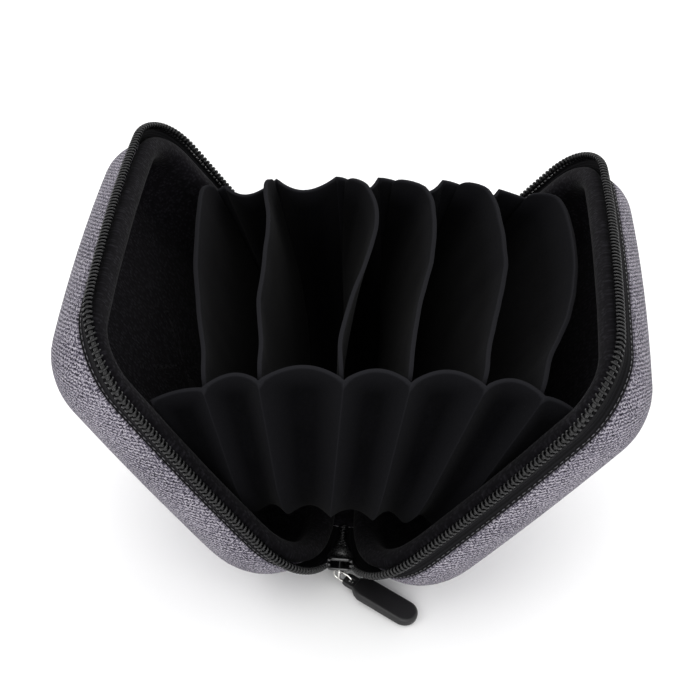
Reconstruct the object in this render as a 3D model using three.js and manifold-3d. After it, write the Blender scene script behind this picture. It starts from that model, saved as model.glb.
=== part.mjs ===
// Lens filter case, standing open on its spine: two moulded half shells, a coil zipper round
// their rims and a fan of felt pockets between them.
// Millimetres, +Z up, hinge line along Y, the zipper slider at the -Y end. Origin on the surface
// that the case stands on, below the middle of the hinge.
import * as THREE from 'three';
import { mergeVertices } from 'three/addons/utils/BufferGeometryUtils.js';
import Module from 'manifold-3d';

const wasm = await Module();
wasm.setup();

// Rims: the line of the zipper coils, which every other outline is offset from
const rimWidth = 120;
const rimHeight = 118.5;
const freeCorner = 21;
const spineCorner = 36;
const sideBow = 3;
const openAngle = THREE.MathUtils.degToRad(36);

// Half shells
const halfDepth = 24;
const faceFillet = 15.5;
const shellWall = 4;
const shellTuck = 3;
const shellEdge = 4.5;

// Lining
const liningWall = 1.5;
const lipBulge = 1.2;
const lipGap = 3.2;
const lipHeight = 4.2;

// Zipper
const coilRadius = 1.4;
const tapeThickness = 0.7;
const stripThickness = 1;
const sliderLength = 9;
const sliderMouth = 7.8;
const sliderNose = 4.2;
const sliderThickness = 4.2;
const sliderAt = 16.5;
const sliderGap = 1.2;
const stopAt = 16;

// Pull
const barWidth = 0.8;
const barHeight = 0.8;
const bridgeGap = 2.2;
const bridgeSpan = 4.4;
const bridgePost = 0.9;
const bridgeShoulder = 0.7;
const bridgeRoot = 0.5;
const linkLength = 7;
const linkHeight = 4.4;
const linkBand = 0.8;
const linkThickness = 0.8;
const tabLength = 25;
const tabWidth = 8.2;
const tabThickness = 3;
const neckThickness = 1.6;
const neckWidth = 4.4;
const neckReach = 3;
const neckTaper = 0.8;
const eyeBarLength = 1.3;
const shoulderAt = 0.9;
const shoulderLength = 3;
const pullYaw = THREE.MathUtils.degToRad(-28);

// Pocket fan
const feltWall = 1;
const dividerWall = 1.2;
const pocketTop = 79;
const pocketFloor = 11;
const pocketCorner = 34;
const nearRoom = 10;
const farRoom = 8;
const nearWall = rimWidth / 2 - nearRoom;
const farWall = rimWidth / 2 - farRoom;
const farDrop = 4.5;
const floorSpan = 56;
const endDepth = 3;
const foldDepth = 7;
const floorFold = 1.5;
const tipRadius = 7;
const tipDrop = 0.6;
const bowRise = 2.2;

// Fits
const clearance = 0.3;
const panelGap = 0.5;
const weldDistance = 1e-4;

// Facets
const cornerSteps = 5;
const sideSteps = 3;
const filletSteps = 5;
const coilSides = 8;
const roundSteps = 6;
const foldSteps = 4;
const wallSteps = 4;
const floorSteps = 2;
const dividerColumns = 14;
const dividerRows = 7;

// The two halves: their side of the hinge, and how far below the coil line the cloth meets the tape
const halves = [
  { name: 'left', side: -1, seamDepth: 6, shellLook: 0x8b8a9b },
  { name: 'right', side: 1, seamDepth: 8, shellLook: 0x8b8a9b },
];

// Roll of the lining's lip, from its inner side to its outer: how far across it, and how far up it as
// a share of lipHeight
const lipProfile = [
  { across: 0, up: 0.35 },
  { across: 0.15, up: 0.8 },
  { across: 0.45, up: 1 },
  { across: 0.88, up: 0.9 },
  { across: 1, up: 0.6 },
];

// Slider's outline from nose to mouth: its width as a share of sliderMouth, and the place as a share
// of half its length from the middle
const sliderProfile = [
  { wide: sliderNose / sliderMouth, along: 1 },
  { wide: 1, along: -0.4 },
  { wide: 1, along: -0.7 },
  { wide: 0.6, along: -1 },
];

// Fold lines of the fan from left to right: where each crosses the near wall, the far wall and the
// floor, as shares of half the fan's width there, and how high it rises, as a share of pocketTop.
// The first and last lie on the linings.
const folds = [
  { near: -0.93, far: -0.97, floor: -1, rise: 0.9 },
  { near: -0.655, far: -0.79, floor: -0.84, rise: 0.97 },
  { near: -0.395, far: -0.49, floor: -0.52, rise: 1.02 },
  { near: -0.025, far: -0.17, floor: -0.14, rise: 1.05 },
  { near: 0.26, far: 0.05, floor: 0.27, rise: 1.06 },
  { near: 0.57, far: 0.38, floor: 0.55, rise: 1.07 },
  { near: 0.83, far: 0.68, floor: 0.84, rise: 1.045 },
  { near: 1, far: 1, floor: 1, rise: 0.99 },
];

// Felt between each fold line and the next: how far it folds inwards at each wall, as shares of
// foldDepth, and how far its far fold leans towards the right
const panels = [
  { near: 0.2, far: 0, lean: 1 },
  { near: 0.65, far: 1, lean: 1 },
  { near: 0.9, far: 1, lean: 1 },
  { near: 0.75, far: 0.95, lean: 2.2 },
  { near: 0.85, far: 1, lean: 2.2 },
  { near: 0.7, far: 0.85, lean: 2.5 },
  { near: 0.15, far: 0, lean: 1 },
];

// Free edge of each divider: how far it bows sideways from the straight line between its two
// ends, as shares of half the fan's width, at these shares of the way from near to far
const bowAt = [0, 0.15, 0.35, 0.55, 0.75, 0.9, 0.96, 1];
const bows = [
  [0, -0.01, -0.055, -0.09, -0.1, -0.095, -0.07, 0],
  [0, 0, -0.022, -0.01, -0.01, -0.035, -0.02, 0],
  [0, -0.01, 0.045, 0.125, 0.175, 0.14, 0.065, 0],
  [0, 0.03, 0.09, 0.165, 0.21, 0.195, 0.09, 0],
  [0, 0.035, 0.11, 0.175, 0.19, 0.17, 0.09, 0],
  [0, 0.045, 0.165, 0.235, 0.26, 0.24, 0.175, 0],
];

// Worked out from the sizes above
const cosOpen = Math.cos(openAngle);
const sinOpen = Math.sin(openAngle);
const tapeSeat = tapeThickness + clearance;
const liningInset = shellTuck + shellWall + clearance + liningWall;
const footCentre = halfDepth - faceFillet;
const standHeight = footCentre * sinOpen - (shellTuck + faceFillet) * cosOpen + faceFillet;

// One closed body through rings of points, capped at both ends; every ring has the same even count.
function loft(rings) {
  const count = rings[0].length;
  const index = [];
  for (let j = 0; j < rings.length - 1; j += 1) {
    for (let i = 0; i < count; i += 1) {
      const a = j * count + i;
      const b = j * count + ((i + 1) % count);
      index.push(a, b, b + count, a, b + count, a + count);
    }
  }
  const last = (rings.length - 1) * count;
  for (let i = 0; i < count / 2 - 1; i += 1) {
    const k = count - 1 - i;
    index.push(i, k, i + 1, i + 1, k, k - 1);
    index.push(last + i, last + i + 1, last + k, last + i + 1, last + k - 1, last + k);
  }
  const geometry = new THREE.BufferGeometry().setFromPoints(rings.flat());
  geometry.setIndex(index);
  if (volume(geometry) < 0) {
    for (let i = 0; i < index.length; i += 3) {
      [index[i + 1], index[i + 2]] = [index[i + 2], index[i + 1]];
    }
    geometry.setIndex(index);
  }
  geometry.computeVertexNormals();
  return geometry;
}

// Volume inside an indexed mesh, below zero where its faces point inwards.
function volume(geometry) {
  const at = geometry.getAttribute('position');
  const order = geometry.getIndex();
  const [a, b, c] = [new THREE.Vector3(), new THREE.Vector3(), new THREE.Vector3()];
  let sum = 0;
  for (let i = 0; i < order.count; i += 3) {
    a.fromBufferAttribute(at, order.getX(i));
    b.fromBufferAttribute(at, order.getX(i + 1));
    c.fromBufferAttribute(at, order.getX(i + 2));
    sum += a.dot(b.cross(c)) / 6;
  }
  return sum;
}

// Point number i of n evenly spaced steps from a to b.
const step = (a, b, i, n) => a + ((b - a) * i) / n;

// Arc of points [u, v] about a centre, angles in degrees.
function arc(u, v, radius, from, to, steps) {
  return Array.from({ length: steps + 1 }, (_, i) => {
    const angle = THREE.MathUtils.degToRad(step(from, to, i, steps));
    return [u + radius * Math.cos(angle), v + radius * Math.sin(angle)];
  });
}

// Outline of the rim grown by an offset, as points [y, z] from the far spine corner round the free
// edge to the near spine corner. The two spine corners may start and end part of the way round.
function outline(offset, farStart = -90, nearEnd = 270) {
  const halfWidth = rimWidth / 2 + offset;
  const spine = Math.max(spineCorner + offset, clearance);
  const free = Math.max(freeCorner + offset, clearance);
  const top = rimHeight + offset;
  const corners = [
    arc(halfWidth - spine, spine - offset, spine, farStart, 0, cornerSteps),
    arc(halfWidth - free, top - free, free, 0, 90, cornerSteps),
    arc(free - halfWidth, top - free, free, 90, 180, cornerSteps),
    arc(spine - halfWidth, spine - offset, spine, 180, nearEnd, cornerSteps),
  ];
  const points = [];
  corners.forEach((corner, c) => {
    points.push(...corner);
    if (c === corners.length - 1) return;
    const [a, b] = [corner[corner.length - 1], corners[c + 1][0]];
    for (let i = 1; i < sideSteps; i += 1) {
      points.push([step(a[0], b[0], i, sideSteps), step(a[1], b[1], i, sideSteps)]);
    }
  });
  return points.map(([y, z]) => {
    const across = (2 * y) / rimWidth;
    const up = (2 * z) / rimHeight - 1;
    const inside = (share) => Math.max(0, 1 - share * share);
    return [y + sideBow * across * inside(up), z + sideBow * Math.max(0, up) * inside(across)];
  });
}

// Rings of a half, one for each [offset, depth] of its section.
function halfRings(half, section, farStart, nearEnd) {
  return section.map(([offset, depth]) =>
    outline(offset, farStart, nearEnd).map(([y, z]) => new THREE.Vector3(half.side * depth, y, z)));
}

const turned = (rings) => rings[0].map((_, i) => rings.map((ring) => ring[i]));

// Quarter round of a section between a half's side wall and its flat face.
const fillet = (inset, face, radius, from, to) =>
  arc(-inset - radius, face - radius, radius, from, to, filletSteps);

// Half shell: cloth over moulded foam, with a seat for the tape below its edge.
function shellSection(half) {
  const inner = shellTuck + shellWall;
  return [
    ...fillet(inner, halfDepth - shellWall, faceFillet - shellWall, 90, 0),
    [-inner, shellEdge],
    [-shellTuck - tapeSeat, shellEdge],
    [-shellTuck - tapeSeat, half.seamDepth],
    [-shellTuck, half.seamDepth],
    ...fillet(shellTuck, halfDepth, faceFillet, 0, 90),
  ];
}

// Lining: a thin cup inside the shell, turned over its edge as a padded lip.
function liningSection() {
  const skin = liningInset - liningWall;
  const depth = halfDepth - shellWall - clearance;
  const radius = faceFillet - shellWall - clearance;
  const foot = shellEdge - clearance;
  const roll = liningInset + lipBulge;
  return [
    ...fillet(liningInset, depth - liningWall, radius - liningWall, 90, 0),
    [-liningInset, foot + 2 * lipBulge],
    ...lipProfile.map(({ across, up }) =>
      [THREE.MathUtils.lerp(-roll, -lipGap, across), foot - up * lipHeight]),
    [-shellTuck - tapeSeat, foot],
    [-skin, foot],
    ...fillet(skin, depth, radius, 0, 90),
  ];
}

// Tape: from its seat on the shell out to the foot of the coil.
function tapeSection(half) {
  const seated = -shellTuck - tapeThickness;
  const foot = coilRadius + clearance;
  const end = half.seamDepth - clearance;
  return [
    [seated, end], [seated, shellEdge], [-tapeThickness, foot],
    [0, foot], [-shellTuck, shellEdge], [-shellTuck, end],
  ];
}

const material = (color, roughness, metalness = 0) =>
  new THREE.MeshStandardMaterial({ color, roughness, metalness });

const looks = {
  lining: () => material(0x1a1a1d, 0.95),
  tape: () => material(0x121214, 0.85),
  coil: () => material(0x17171a, 0.35),
  felt: () => material(0x17181b, 0.95),
  strip: () => material(0x8b8a9b, 0.9),
  metal: () => material(0xc4c5c8, 0.25, 1),
  rubber: () => material(0x141416, 0.55),
};

function mesh(name, geometry, look) {
  const made = new THREE.Mesh(geometry, look);
  made.name = name;
  return made;
}

// The halves, each in a group that leans outwards on the hinge line.
function makeHalf(half) {
  const group = new THREE.Group();
  group.rotation.y = half.side * openAngle;
  const section = shellSection(half);
  const coil = arc(0, 0, coilRadius, 0, 360 - 360 / coilSides, coilSides - 1);
  const coilEnd = sliderAt + sliderLength / 2 + sliderGap;
  const nearTurn = THREE.MathUtils.radToDeg(Math.asin(coilEnd / spineCorner));
  const farTurn = THREE.MathUtils.radToDeg(Math.asin(stopAt / spineCorner));
  group.add(
    mesh(`shell_${half.name}`, loft(halfRings(half, section)), material(half.shellLook, 0.9)),
    mesh(`lining_${half.name}`, loft(halfRings(half, liningSection())), looks.lining()),
    mesh(`tape_${half.name}`, loft(turned(halfRings(half, tapeSection(half)))), looks.tape()),
    mesh(
      `coil_${half.name}`,
      loft(turned(halfRings(half, coil, farTurn - 90, 270 - nearTurn))),
      looks.coil(),
    ),
  );
  return group;
}

// A point of a half's section at the spine, in the XZ plane of the whole case.
function spinePoint(side, offset, depth) {
  const z = -offset;
  return new THREE.Vector2(
    side * (depth * cosOpen + z * sinOpen),
    -depth * sinOpen + z * cosOpen,
  );
}

// Solid drawn in the XZ plane and extruded along Y, centred on it.
function extrudedAlongY(points, length) {
  const half = length / 2;
  return loft([-half, half].map((y) => points.map((p) => new THREE.Vector3(p.x, y, p.y))));
}

// Strip of cloth across the hinge, seated where the tapes leave off.
function spineStrip() {
  const [left, right] = halves;
  const upper = -shellTuck - tapeThickness;
  const foot = coilRadius + clearance;
  const bottom = [
    spinePoint(-1, -shellTuck, left.seamDepth - clearance),
    spinePoint(-1, -shellTuck, shellEdge),
    spinePoint(-1, -tapeThickness, foot),
    spinePoint(1, -tapeThickness, foot),
    spinePoint(1, -shellTuck, shellEdge),
    spinePoint(1, -shellTuck, right.seamDepth - clearance),
  ];
  const top = [
    spinePoint(1, upper, right.seamDepth - clearance),
    spinePoint(1, upper, shellEdge),
    spinePoint(1, -tapeThickness, foot).add(new THREE.Vector2(0, stripThickness)),
    spinePoint(-1, -tapeThickness, foot).add(new THREE.Vector2(0, stripThickness)),
    spinePoint(-1, upper, shellEdge),
    spinePoint(-1, upper, left.seamDepth - clearance),
  ];
  const length = rimWidth - 2 * spineCorner - 2 * clearance;
  return mesh('spine_strip', extrudedAlongY([...bottom, ...top], length), looks.strip());
}

// Closed mesh as a manifold-3d solid, and back.
function solid(geometry) {
  const bare = geometry.clone();
  bare.deleteAttribute('normal');
  if (bare.getAttribute('uv')) bare.deleteAttribute('uv');
  const merged = mergeVertices(bare, weldDistance);
  return new wasm.Manifold(new wasm.Mesh({
    numProp: 3,
    vertProperties: new Float32Array(merged.getAttribute('position').array),
    triVerts: new Uint32Array(merged.getIndex().array),
  }));
}

function geometryOf(joined) {
  const { vertProperties, triVerts } = joined.getMesh();
  const geometry = new THREE.BufferGeometry();
  geometry.setAttribute('position', new THREE.BufferAttribute(vertProperties, 3));
  geometry.setIndex(new THREE.BufferAttribute(triVerts, 1));
  geometry.computeVertexNormals();
  return geometry;
}

// Flat plate of a shape, its middle in the XY plane.
const plate = (shape, depth) =>
  new THREE.ExtrudeGeometry(shape, { depth, bevelEnabled: false, curveSegments: roundSteps })
    .translate(0, 0, -depth / 2);

// Slider: a shield-shaped body and, below it, the bridge that holds the link.
// Its length runs along Y, mouth towards -Y, and its outer face looks down.
function sliderGeometry() {
  const side = (way) => sliderProfile.map(({ wide, along }) =>
    new THREE.Vector2((way * wide * sliderMouth) / 2, (along * sliderLength) / 2));
  const body = new THREE.Shape([...side(-1), ...side(1).reverse()]);
  const half = bridgeSpan / 2;
  const reach = half + bridgePost;
  const rise = bridgeGap + barHeight;
  const arch = new THREE.Shape([
    new THREE.Vector2(-reach, bridgeRoot), new THREE.Vector2(-reach, -bridgeShoulder * rise),
    new THREE.Vector2(-half, -rise), new THREE.Vector2(half, -rise),
    new THREE.Vector2(reach, -bridgeShoulder * rise), new THREE.Vector2(reach, bridgeRoot),
  ]);
  arch.holes.push(new THREE.Path([
    new THREE.Vector2(-half, 0), new THREE.Vector2(half, 0),
    new THREE.Vector2(half, -bridgeGap), new THREE.Vector2(-half, -bridgeGap),
  ]));
  const bridge = plate(arch, barWidth)
    .rotateX(Math.PI / 2).rotateZ(Math.PI / 2).translate(0, bridgeAt, -sliderThickness / 2);
  return geometryOf(solid(plate(body, sliderThickness)).add(solid(bridge)));
}

const bridgeAt = bridgeSpan / 2 + bridgePost - sliderLength / 2;
const barDrop = sliderThickness / 2 + bridgeGap + barHeight / 2;

// Where the slider sits on the coil line, and how steeply that line comes down to the hinge
function sliderSeat() {
  const drop = spineCorner - Math.sqrt(spineCorner ** 2 - sliderAt ** 2);
  const slope = sliderAt / Math.sqrt(spineCorner ** 2 - sliderAt ** 2);
  const pitch = Math.atan(slope * cosOpen);
  return { y: spineCorner - rimWidth / 2 - sliderAt, z: drop * cosOpen, pitch };
}

// Stadium outline along X from a to b.
function stadium(a, b, radius, Kind = THREE.Shape) {
  const path = new Kind();
  path.moveTo(a, -radius);
  path.lineTo(b, -radius);
  path.absarc(b, 0, radius, -Math.PI / 2, Math.PI / 2, false);
  path.lineTo(a, radius);
  path.absarc(a, 0, radius, Math.PI / 2, (3 * Math.PI) / 2, false);
  return path;
}

// Link: a flat ring on edge, one end round the slider's bar, the other through the tab's eye.
function linkGeometry() {
  const radius = linkHeight / 2;
  const far = linkLength - 2 * radius;
  const ring = stadium(0, far, radius);
  ring.holes.push(stadium(0, far, radius - linkBand, THREE.Path));
  return plate(ring, linkThickness).rotateX(Math.PI / 2);
}

// Tab: a round-ended slab of moulded rubber with a thinner neck and an eye.
function tabGeometry() {
  const linkEnd = linkLength - linkHeight / 2;
  const eyeStart = linkEnd - linkBand - 2 * clearance;
  const eyeEnd = linkEnd + clearance;
  const eyeHalf = linkThickness / 2 + clearance;
  const half = neckWidth / 2;
  const start = eyeStart - eyeBarLength;
  const neck = new THREE.Shape([
    new THREE.Vector2(start, -half * neckTaper), new THREE.Vector2(eyeEnd + neckReach, -half),
    new THREE.Vector2(eyeEnd + neckReach, half), new THREE.Vector2(start, half * neckTaper),
  ]);
  neck.holes.push(new THREE.Path([
    new THREE.Vector2(eyeStart, -eyeHalf), new THREE.Vector2(eyeStart, eyeHalf),
    new THREE.Vector2(eyeEnd, eyeHalf), new THREE.Vector2(eyeEnd, -eyeHalf),
  ]));
  const shoulder = eyeEnd + shoulderAt;
  const round = start + tabLength - tabWidth / 2;
  const body = new THREE.Shape();
  body.moveTo(shoulder, -half);
  body.lineTo(shoulder + shoulderLength, -tabWidth / 2);
  body.lineTo(round, -tabWidth / 2);
  body.absarc(round, 0, tabWidth / 2, -Math.PI / 2, Math.PI / 2, false);
  body.lineTo(shoulder + shoulderLength, tabWidth / 2);
  body.lineTo(shoulder, half);
  return geometryOf(solid(plate(body, tabThickness)).add(solid(plate(neck, neckThickness))));
}

// The pull hangs from the bar and lies outwards with its free end just above the surface.
function makePull() {
  const seat = sliderSeat();
  const pull = new THREE.Group();
  const bar = new THREE.Vector3(0, bridgeAt, -barDrop)
    .applyAxisAngle(new THREE.Vector3(1, 0, 0), -seat.pitch);
  pull.position.set(0, seat.y + bar.y, seat.z + bar.z);
  const above = pull.position.z + standHeight - tabThickness / 2 - clearance;
  const pitch = Math.asin(above / (tabLength + linkLength - linkHeight));
  pull.rotation.set(0, pitch, pullYaw, 'ZYX');
  pull.add(mesh('pull_link', linkGeometry(), looks.metal()), mesh('pull_tab', tabGeometry(), looks.rubber()));
  return pull;
}

function makeSlider() {
  const seat = sliderSeat();
  const slider = mesh('slider', sliderGeometry(), looks.metal());
  slider.position.set(0, seat.y, seat.z);
  slider.rotation.x = -seat.pitch;
  return slider;
}

// Half the fan's width at a height, between the linings at the mouth.
const fanTop = pocketTop * Math.tan(openAngle) + endDepth / cosOpen;
const fanAt = (share, height) => {
  const up = (height - pocketFloor) / (pocketTop - pocketFloor);
  return THREE.MathUtils.lerp((share.floor * floorSpan) / 2, share.top * fanTop, up);
};

// Inside face of a lining's side wall at a height up the half.
function liningSide(z) {
  const wall = outline(-liningInset - lipBulge).filter(([y]) => y > 0);
  for (let i = 0; i < wall.length - 1; i += 1) {
    const [[ya, za], [yb, zb]] = [wall[i], wall[i + 1]];
    if (za <= z && z <= zb && zb > za) return THREE.MathUtils.mapLinear(z, za, zb, ya, yb);
  }
  return wall[wall.length - 1][0];
}

// Where a folded wall runs, from its top edge down and round the corner to the floor, as
// { y, z, out } with the way out of the pockets. end is -1 at the near wall and +1 at the far one.
function wallPath(end, wall, top) {
  const rows = [];
  const reach = wall - pocketCorner;
  const centre = pocketFloor + pocketCorner;
  for (let i = 0; i < wallSteps; i += 1) {
    rows.push({ y: end * wall, z: step(top, centre, i, wallSteps), out: [end, 0] });
  }
  arc(0, 0, 1, 0, -90, wallSteps).forEach(([c, s]) => {
    rows.push({ y: end * (reach + pocketCorner * c), z: centre + pocketCorner * s, out: [end * c, s] });
  });
  return rows;
}

// Folded felt wall between the fold lines, as rows of points across the whole fan. drop is how far
// its top edge stays below the dividers.
function gusset(name, end, wall, key, drop) {
  const columns = Array.from({ length: panels.length * foldSteps + 1 }, (_, c) => {
    const p = Math.min(Math.floor(c / foldSteps), panels.length - 1);
    const u = c / foldSteps - p;
    const [left, right] = [folds[p], folds[p + 1]];
    const top = THREE.MathUtils.lerp(left.rise, right.rise, u) * pocketTop - drop;
    const rows = wallPath(end, wall, top);
    const ends = [1 - u, ...Array(panels.length - 2).fill(0), u];
    return rows.map(({ y, z, out }, r) => {
      const down = r / (rows.length - 1);
      const [a, b] = [left, right].map((fold) => fanAt({ top: fold[key], floor: fold.floor }, z));
      const x = THREE.MathUtils.lerp(a, b, u);
      const held = liningSide(z * cosOpen + Math.abs(x) * sinOpen) - feltWall - panelGap;
      const room = held - Math.abs(y);
      const toLining = end * ends[p] * Math.min(room, room * (1 - down));
      const lean = key === 'far' ? THREE.MathUtils.lerp(panels[p].lean, 1, down) : 1;
      const depth = THREE.MathUtils.lerp(panels[p][key] * foldDepth, floorFold, down);
      const inwards = depth * Math.sin(Math.PI * u ** lean);
      return { x, y: y + toLining - out[0] * inwards, z: z - out[1] * inwards };
    });
  });
  return mesh(name, sheet(turned(columns), feltWall), looks.felt());
}

// Sheet with a wall either side of a grid of points { x, y, z }.
function sheet(grid, wall) {
  const point = (p) => new THREE.Vector3(p.x, p.y, p.z);
  const rows = grid.map((row) => row.map(point));
  const clampAt = (list, i) => list[Math.min(Math.max(i, 0), list.length - 1)];
  const normal = (r, i) => {
    const across = clampAt(rows[r], i + 1).clone().sub(clampAt(rows[r], i - 1));
    const along = clampAt(rows, r + 1)[i].clone().sub(clampAt(rows, r - 1)[i]);
    return across.cross(along).normalize().multiplyScalar(wall / 2);
  };
  return loft(rows.map((row, r) => {
    const front = row.map((p, i) => p.clone().add(normal(r, i)));
    const back = row.map((p, i) => p.clone().sub(normal(r, i)));
    return [...front, ...back.reverse()];
  }));
}

// Floor of the pockets, between the two folded walls.
function floorPanel() {
  const near = pocketCorner - nearWall + panelGap;
  const far = farWall - pocketCorner - panelGap;
  const columns = Array.from({ length: panels.length * foldSteps + 1 }, (_, c) => {
    const p = Math.min(Math.floor(c / foldSteps), panels.length - 1);
    const u = c / foldSteps - p;
    const x = (THREE.MathUtils.lerp(folds[p].floor, folds[p + 1].floor, u) * floorSpan) / 2;
    const z = pocketFloor + floorFold * Math.sin(Math.PI * u);
    return Array.from({ length: floorSteps + 1 }, (__, r) => ({ x, y: step(near, far, r, floorSteps), z }));
  });
  return mesh('pocket_floor', sheet(turned(columns), feltWall), looks.felt());
}

// Smooth value between the columns of a bow.
function bowOf(bow, share) {
  const points = bowAt.map((at, i) => new THREE.Vector2(at, bow[i]));
  let k = 1;
  while (k < points.length - 2 && points[k].x < share) k += 1;
  const [a, b] = [points[k - 1], points[k]];
  const before = points[Math.max(k - 2, 0)];
  const after = points[Math.min(k + 1, points.length - 1)];
  const t = (share - a.x) / (b.x - a.x);
  const slopeA = ((b.y - before.y) / (b.x - before.x)) * (b.x - a.x);
  const slopeB = ((after.y - a.y) / (after.x - a.x)) * (b.x - a.x);
  const [t2, t3] = [t * t, t * t * t];
  return (2 * t3 - 3 * t2 + 1) * a.y + (t3 - 2 * t2 + t) * slopeA
    + (3 * t2 - 2 * t3) * b.y + (t3 - t2) * slopeB;
}

// Free divider: hangs in the fan between its two fold lines, bowed along its free edge.
function divider(number) {
  const fold = folds[number];
  const inset = feltWall / 2 + 2 * clearance + floorFold;
  const seam = inset + clearance;
  const radius = pocketCorner - inset;
  const [near, far] = [seam - nearWall, farWall - seam];
  const grid = Array.from({ length: dividerColumns + 1 }, (_, c) => {
    const across = (1 - Math.cos((Math.PI * c) / dividerColumns)) / 2;
    const y = THREE.MathUtils.lerp(near, far, across);
    const share = (y + nearWall) / (nearWall + farWall);
    const reach = y < 0 ? y + nearWall - pocketCorner : farWall - pocketCorner - y;
    const past = Math.min(Math.max(0, -reach), radius);
    const low = pocketFloor + pocketCorner - Math.sqrt(radius ** 2 - past ** 2);
    const corner = tipRadius - Math.min(y - near, far - y, tipRadius);
    const top = fold.rise * pocketTop - tipDrop * (tipRadius - Math.sqrt(tipRadius ** 2 - corner ** 2));
    return Array.from({ length: dividerRows + 1 }, (__, r) => {
      const z = step(low, top, r, dividerRows);
      const up = (z - pocketFloor) / (pocketTop - pocketFloor);
      const line = THREE.MathUtils.lerp(fold.near, fold.far, share);
      const x = fanAt({ top: line, floor: fold.floor }, z);
      return { x: x + bowOf(bows[number - 1], share) * fanTop * up ** bowRise, y, z };
    });
  });
  return mesh(`divider_${number}`, sheet(grid, dividerWall), looks.felt());
}

const stand = new THREE.Group();
stand.position.z = standHeight;
stand.add(...halves.map(makeHalf), spineStrip(), makeSlider(), makePull());
stand.add(
  gusset('gusset_near', -1, nearWall, 'near', 0),
  gusset('gusset_far', 1, farWall, 'far', farDrop),
  floorPanel(),
);
bows.forEach((_, i) => stand.add(divider(i + 1)));

const lensFilterCase = new THREE.Group();
lensFilterCase.add(stand);

export default lensFilterCase;
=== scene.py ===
"""Lens filter case: a moulded clamshell in melange cloth, standing open on its spine.

Inside it a fan of felt pockets runs from one half to the other. Lengths are metres, in the part's
own frame: hinge line along Y, slider at the -Y end, +Z up.
"""

import math

import bmesh
import bpy
from bpy.props import FloatProperty, FloatVectorProperty, PointerProperty
from mathutils import Matrix, Vector, noise


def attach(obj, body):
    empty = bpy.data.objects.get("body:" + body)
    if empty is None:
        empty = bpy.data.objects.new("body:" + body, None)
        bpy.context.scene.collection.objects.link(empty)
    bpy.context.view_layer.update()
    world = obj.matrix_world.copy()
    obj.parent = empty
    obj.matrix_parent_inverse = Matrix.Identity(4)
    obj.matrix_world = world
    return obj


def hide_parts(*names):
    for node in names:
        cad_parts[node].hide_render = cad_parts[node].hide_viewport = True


bl_info = {
    "name": "Lens filter case",
    "version": (1, 0, 0),
    "blender": (4, 5, 0),
    "location": "View3D > Sidebar > Filter case",
    "description": "Builds an open lens filter case with its zipper and felt pockets",
    "category": "Add Mesh",
}

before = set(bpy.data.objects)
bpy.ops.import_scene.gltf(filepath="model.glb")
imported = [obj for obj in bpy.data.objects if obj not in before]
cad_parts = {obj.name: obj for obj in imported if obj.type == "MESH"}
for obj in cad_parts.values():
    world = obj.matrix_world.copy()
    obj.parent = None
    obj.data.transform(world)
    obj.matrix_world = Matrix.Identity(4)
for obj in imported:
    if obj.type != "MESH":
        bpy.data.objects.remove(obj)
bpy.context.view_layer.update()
MM = 0.001


def from_hex(code):
    """Linear red, green and blue of an sRGB hex colour."""
    parts = [int(code[i : i + 2], 16) / 255 for i in (1, 3, 5)]
    return [p / 12.92 if p <= 0.04045 else ((p + 0.055) / 1.055) ** 2.4 for p in parts]


def length(name, description, size):
    """A length, with its default given in millimetres."""
    return FloatProperty(name=name, description=description, default=size * MM, unit="LENGTH", min=0)


def angle(name, description, turn):
    """An angle, with its default given in degrees."""
    return FloatProperty(name=name, description=description, default=math.radians(turn), subtype="ANGLE")


def colour(name, description, code):
    """A colour, with its default given in sRGB hex."""
    return FloatVectorProperty(
        name=name, description=description, default=from_hex(code), subtype="COLOR", min=0, max=1
    )


class FilterCaseSizes(bpy.types.PropertyGroup):
    """Sizes of the two moulded halves and their lining"""

    rim_width: length("Rim width", "Across the rim, coil to coil", 120)
    rim_height: length("Rim height", "From the hinge to the free edge", 118.5)
    free_corner: length("Free corner", "Radius of the corners away from the hinge", 21)
    spine_corner: length("Spine corner", "Radius of the corners at the hinge", 36)
    side_bow: length("Side bow", "How far each side swells at its middle", 3)
    open_angle: angle("Opening", "Lean of each half from upright", 36)
    half_depth: length("Half depth", "Depth of one half", 24)
    face_fillet: length("Face fillet", "Radius between a half's side and its flat face", 15.5)
    shell_wall: length("Shell wall", "Cloth and moulded foam together", 4)
    shell_tuck: length("Shell tuck", "How far the shell lies inside the coil line", 3)
    shell_edge: length("Shell edge", "Depth of the shell's edge below the coil line", 4.5)
    face_crown: length("Face crown", "How far the flat face swells", 0.8)
    lining_wall: length("Lining wall", "Thickness of the knit lining", 1.5)
    lip_bulge: length("Lip bulge", "How far the padded lip swells inwards", 1.2)
    lip_gap: length("Lip gap", "Gap between the lip and the coil line", 3.2)
    lip_height: length("Lip height", "Height of the padded lip", 4.2)


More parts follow.
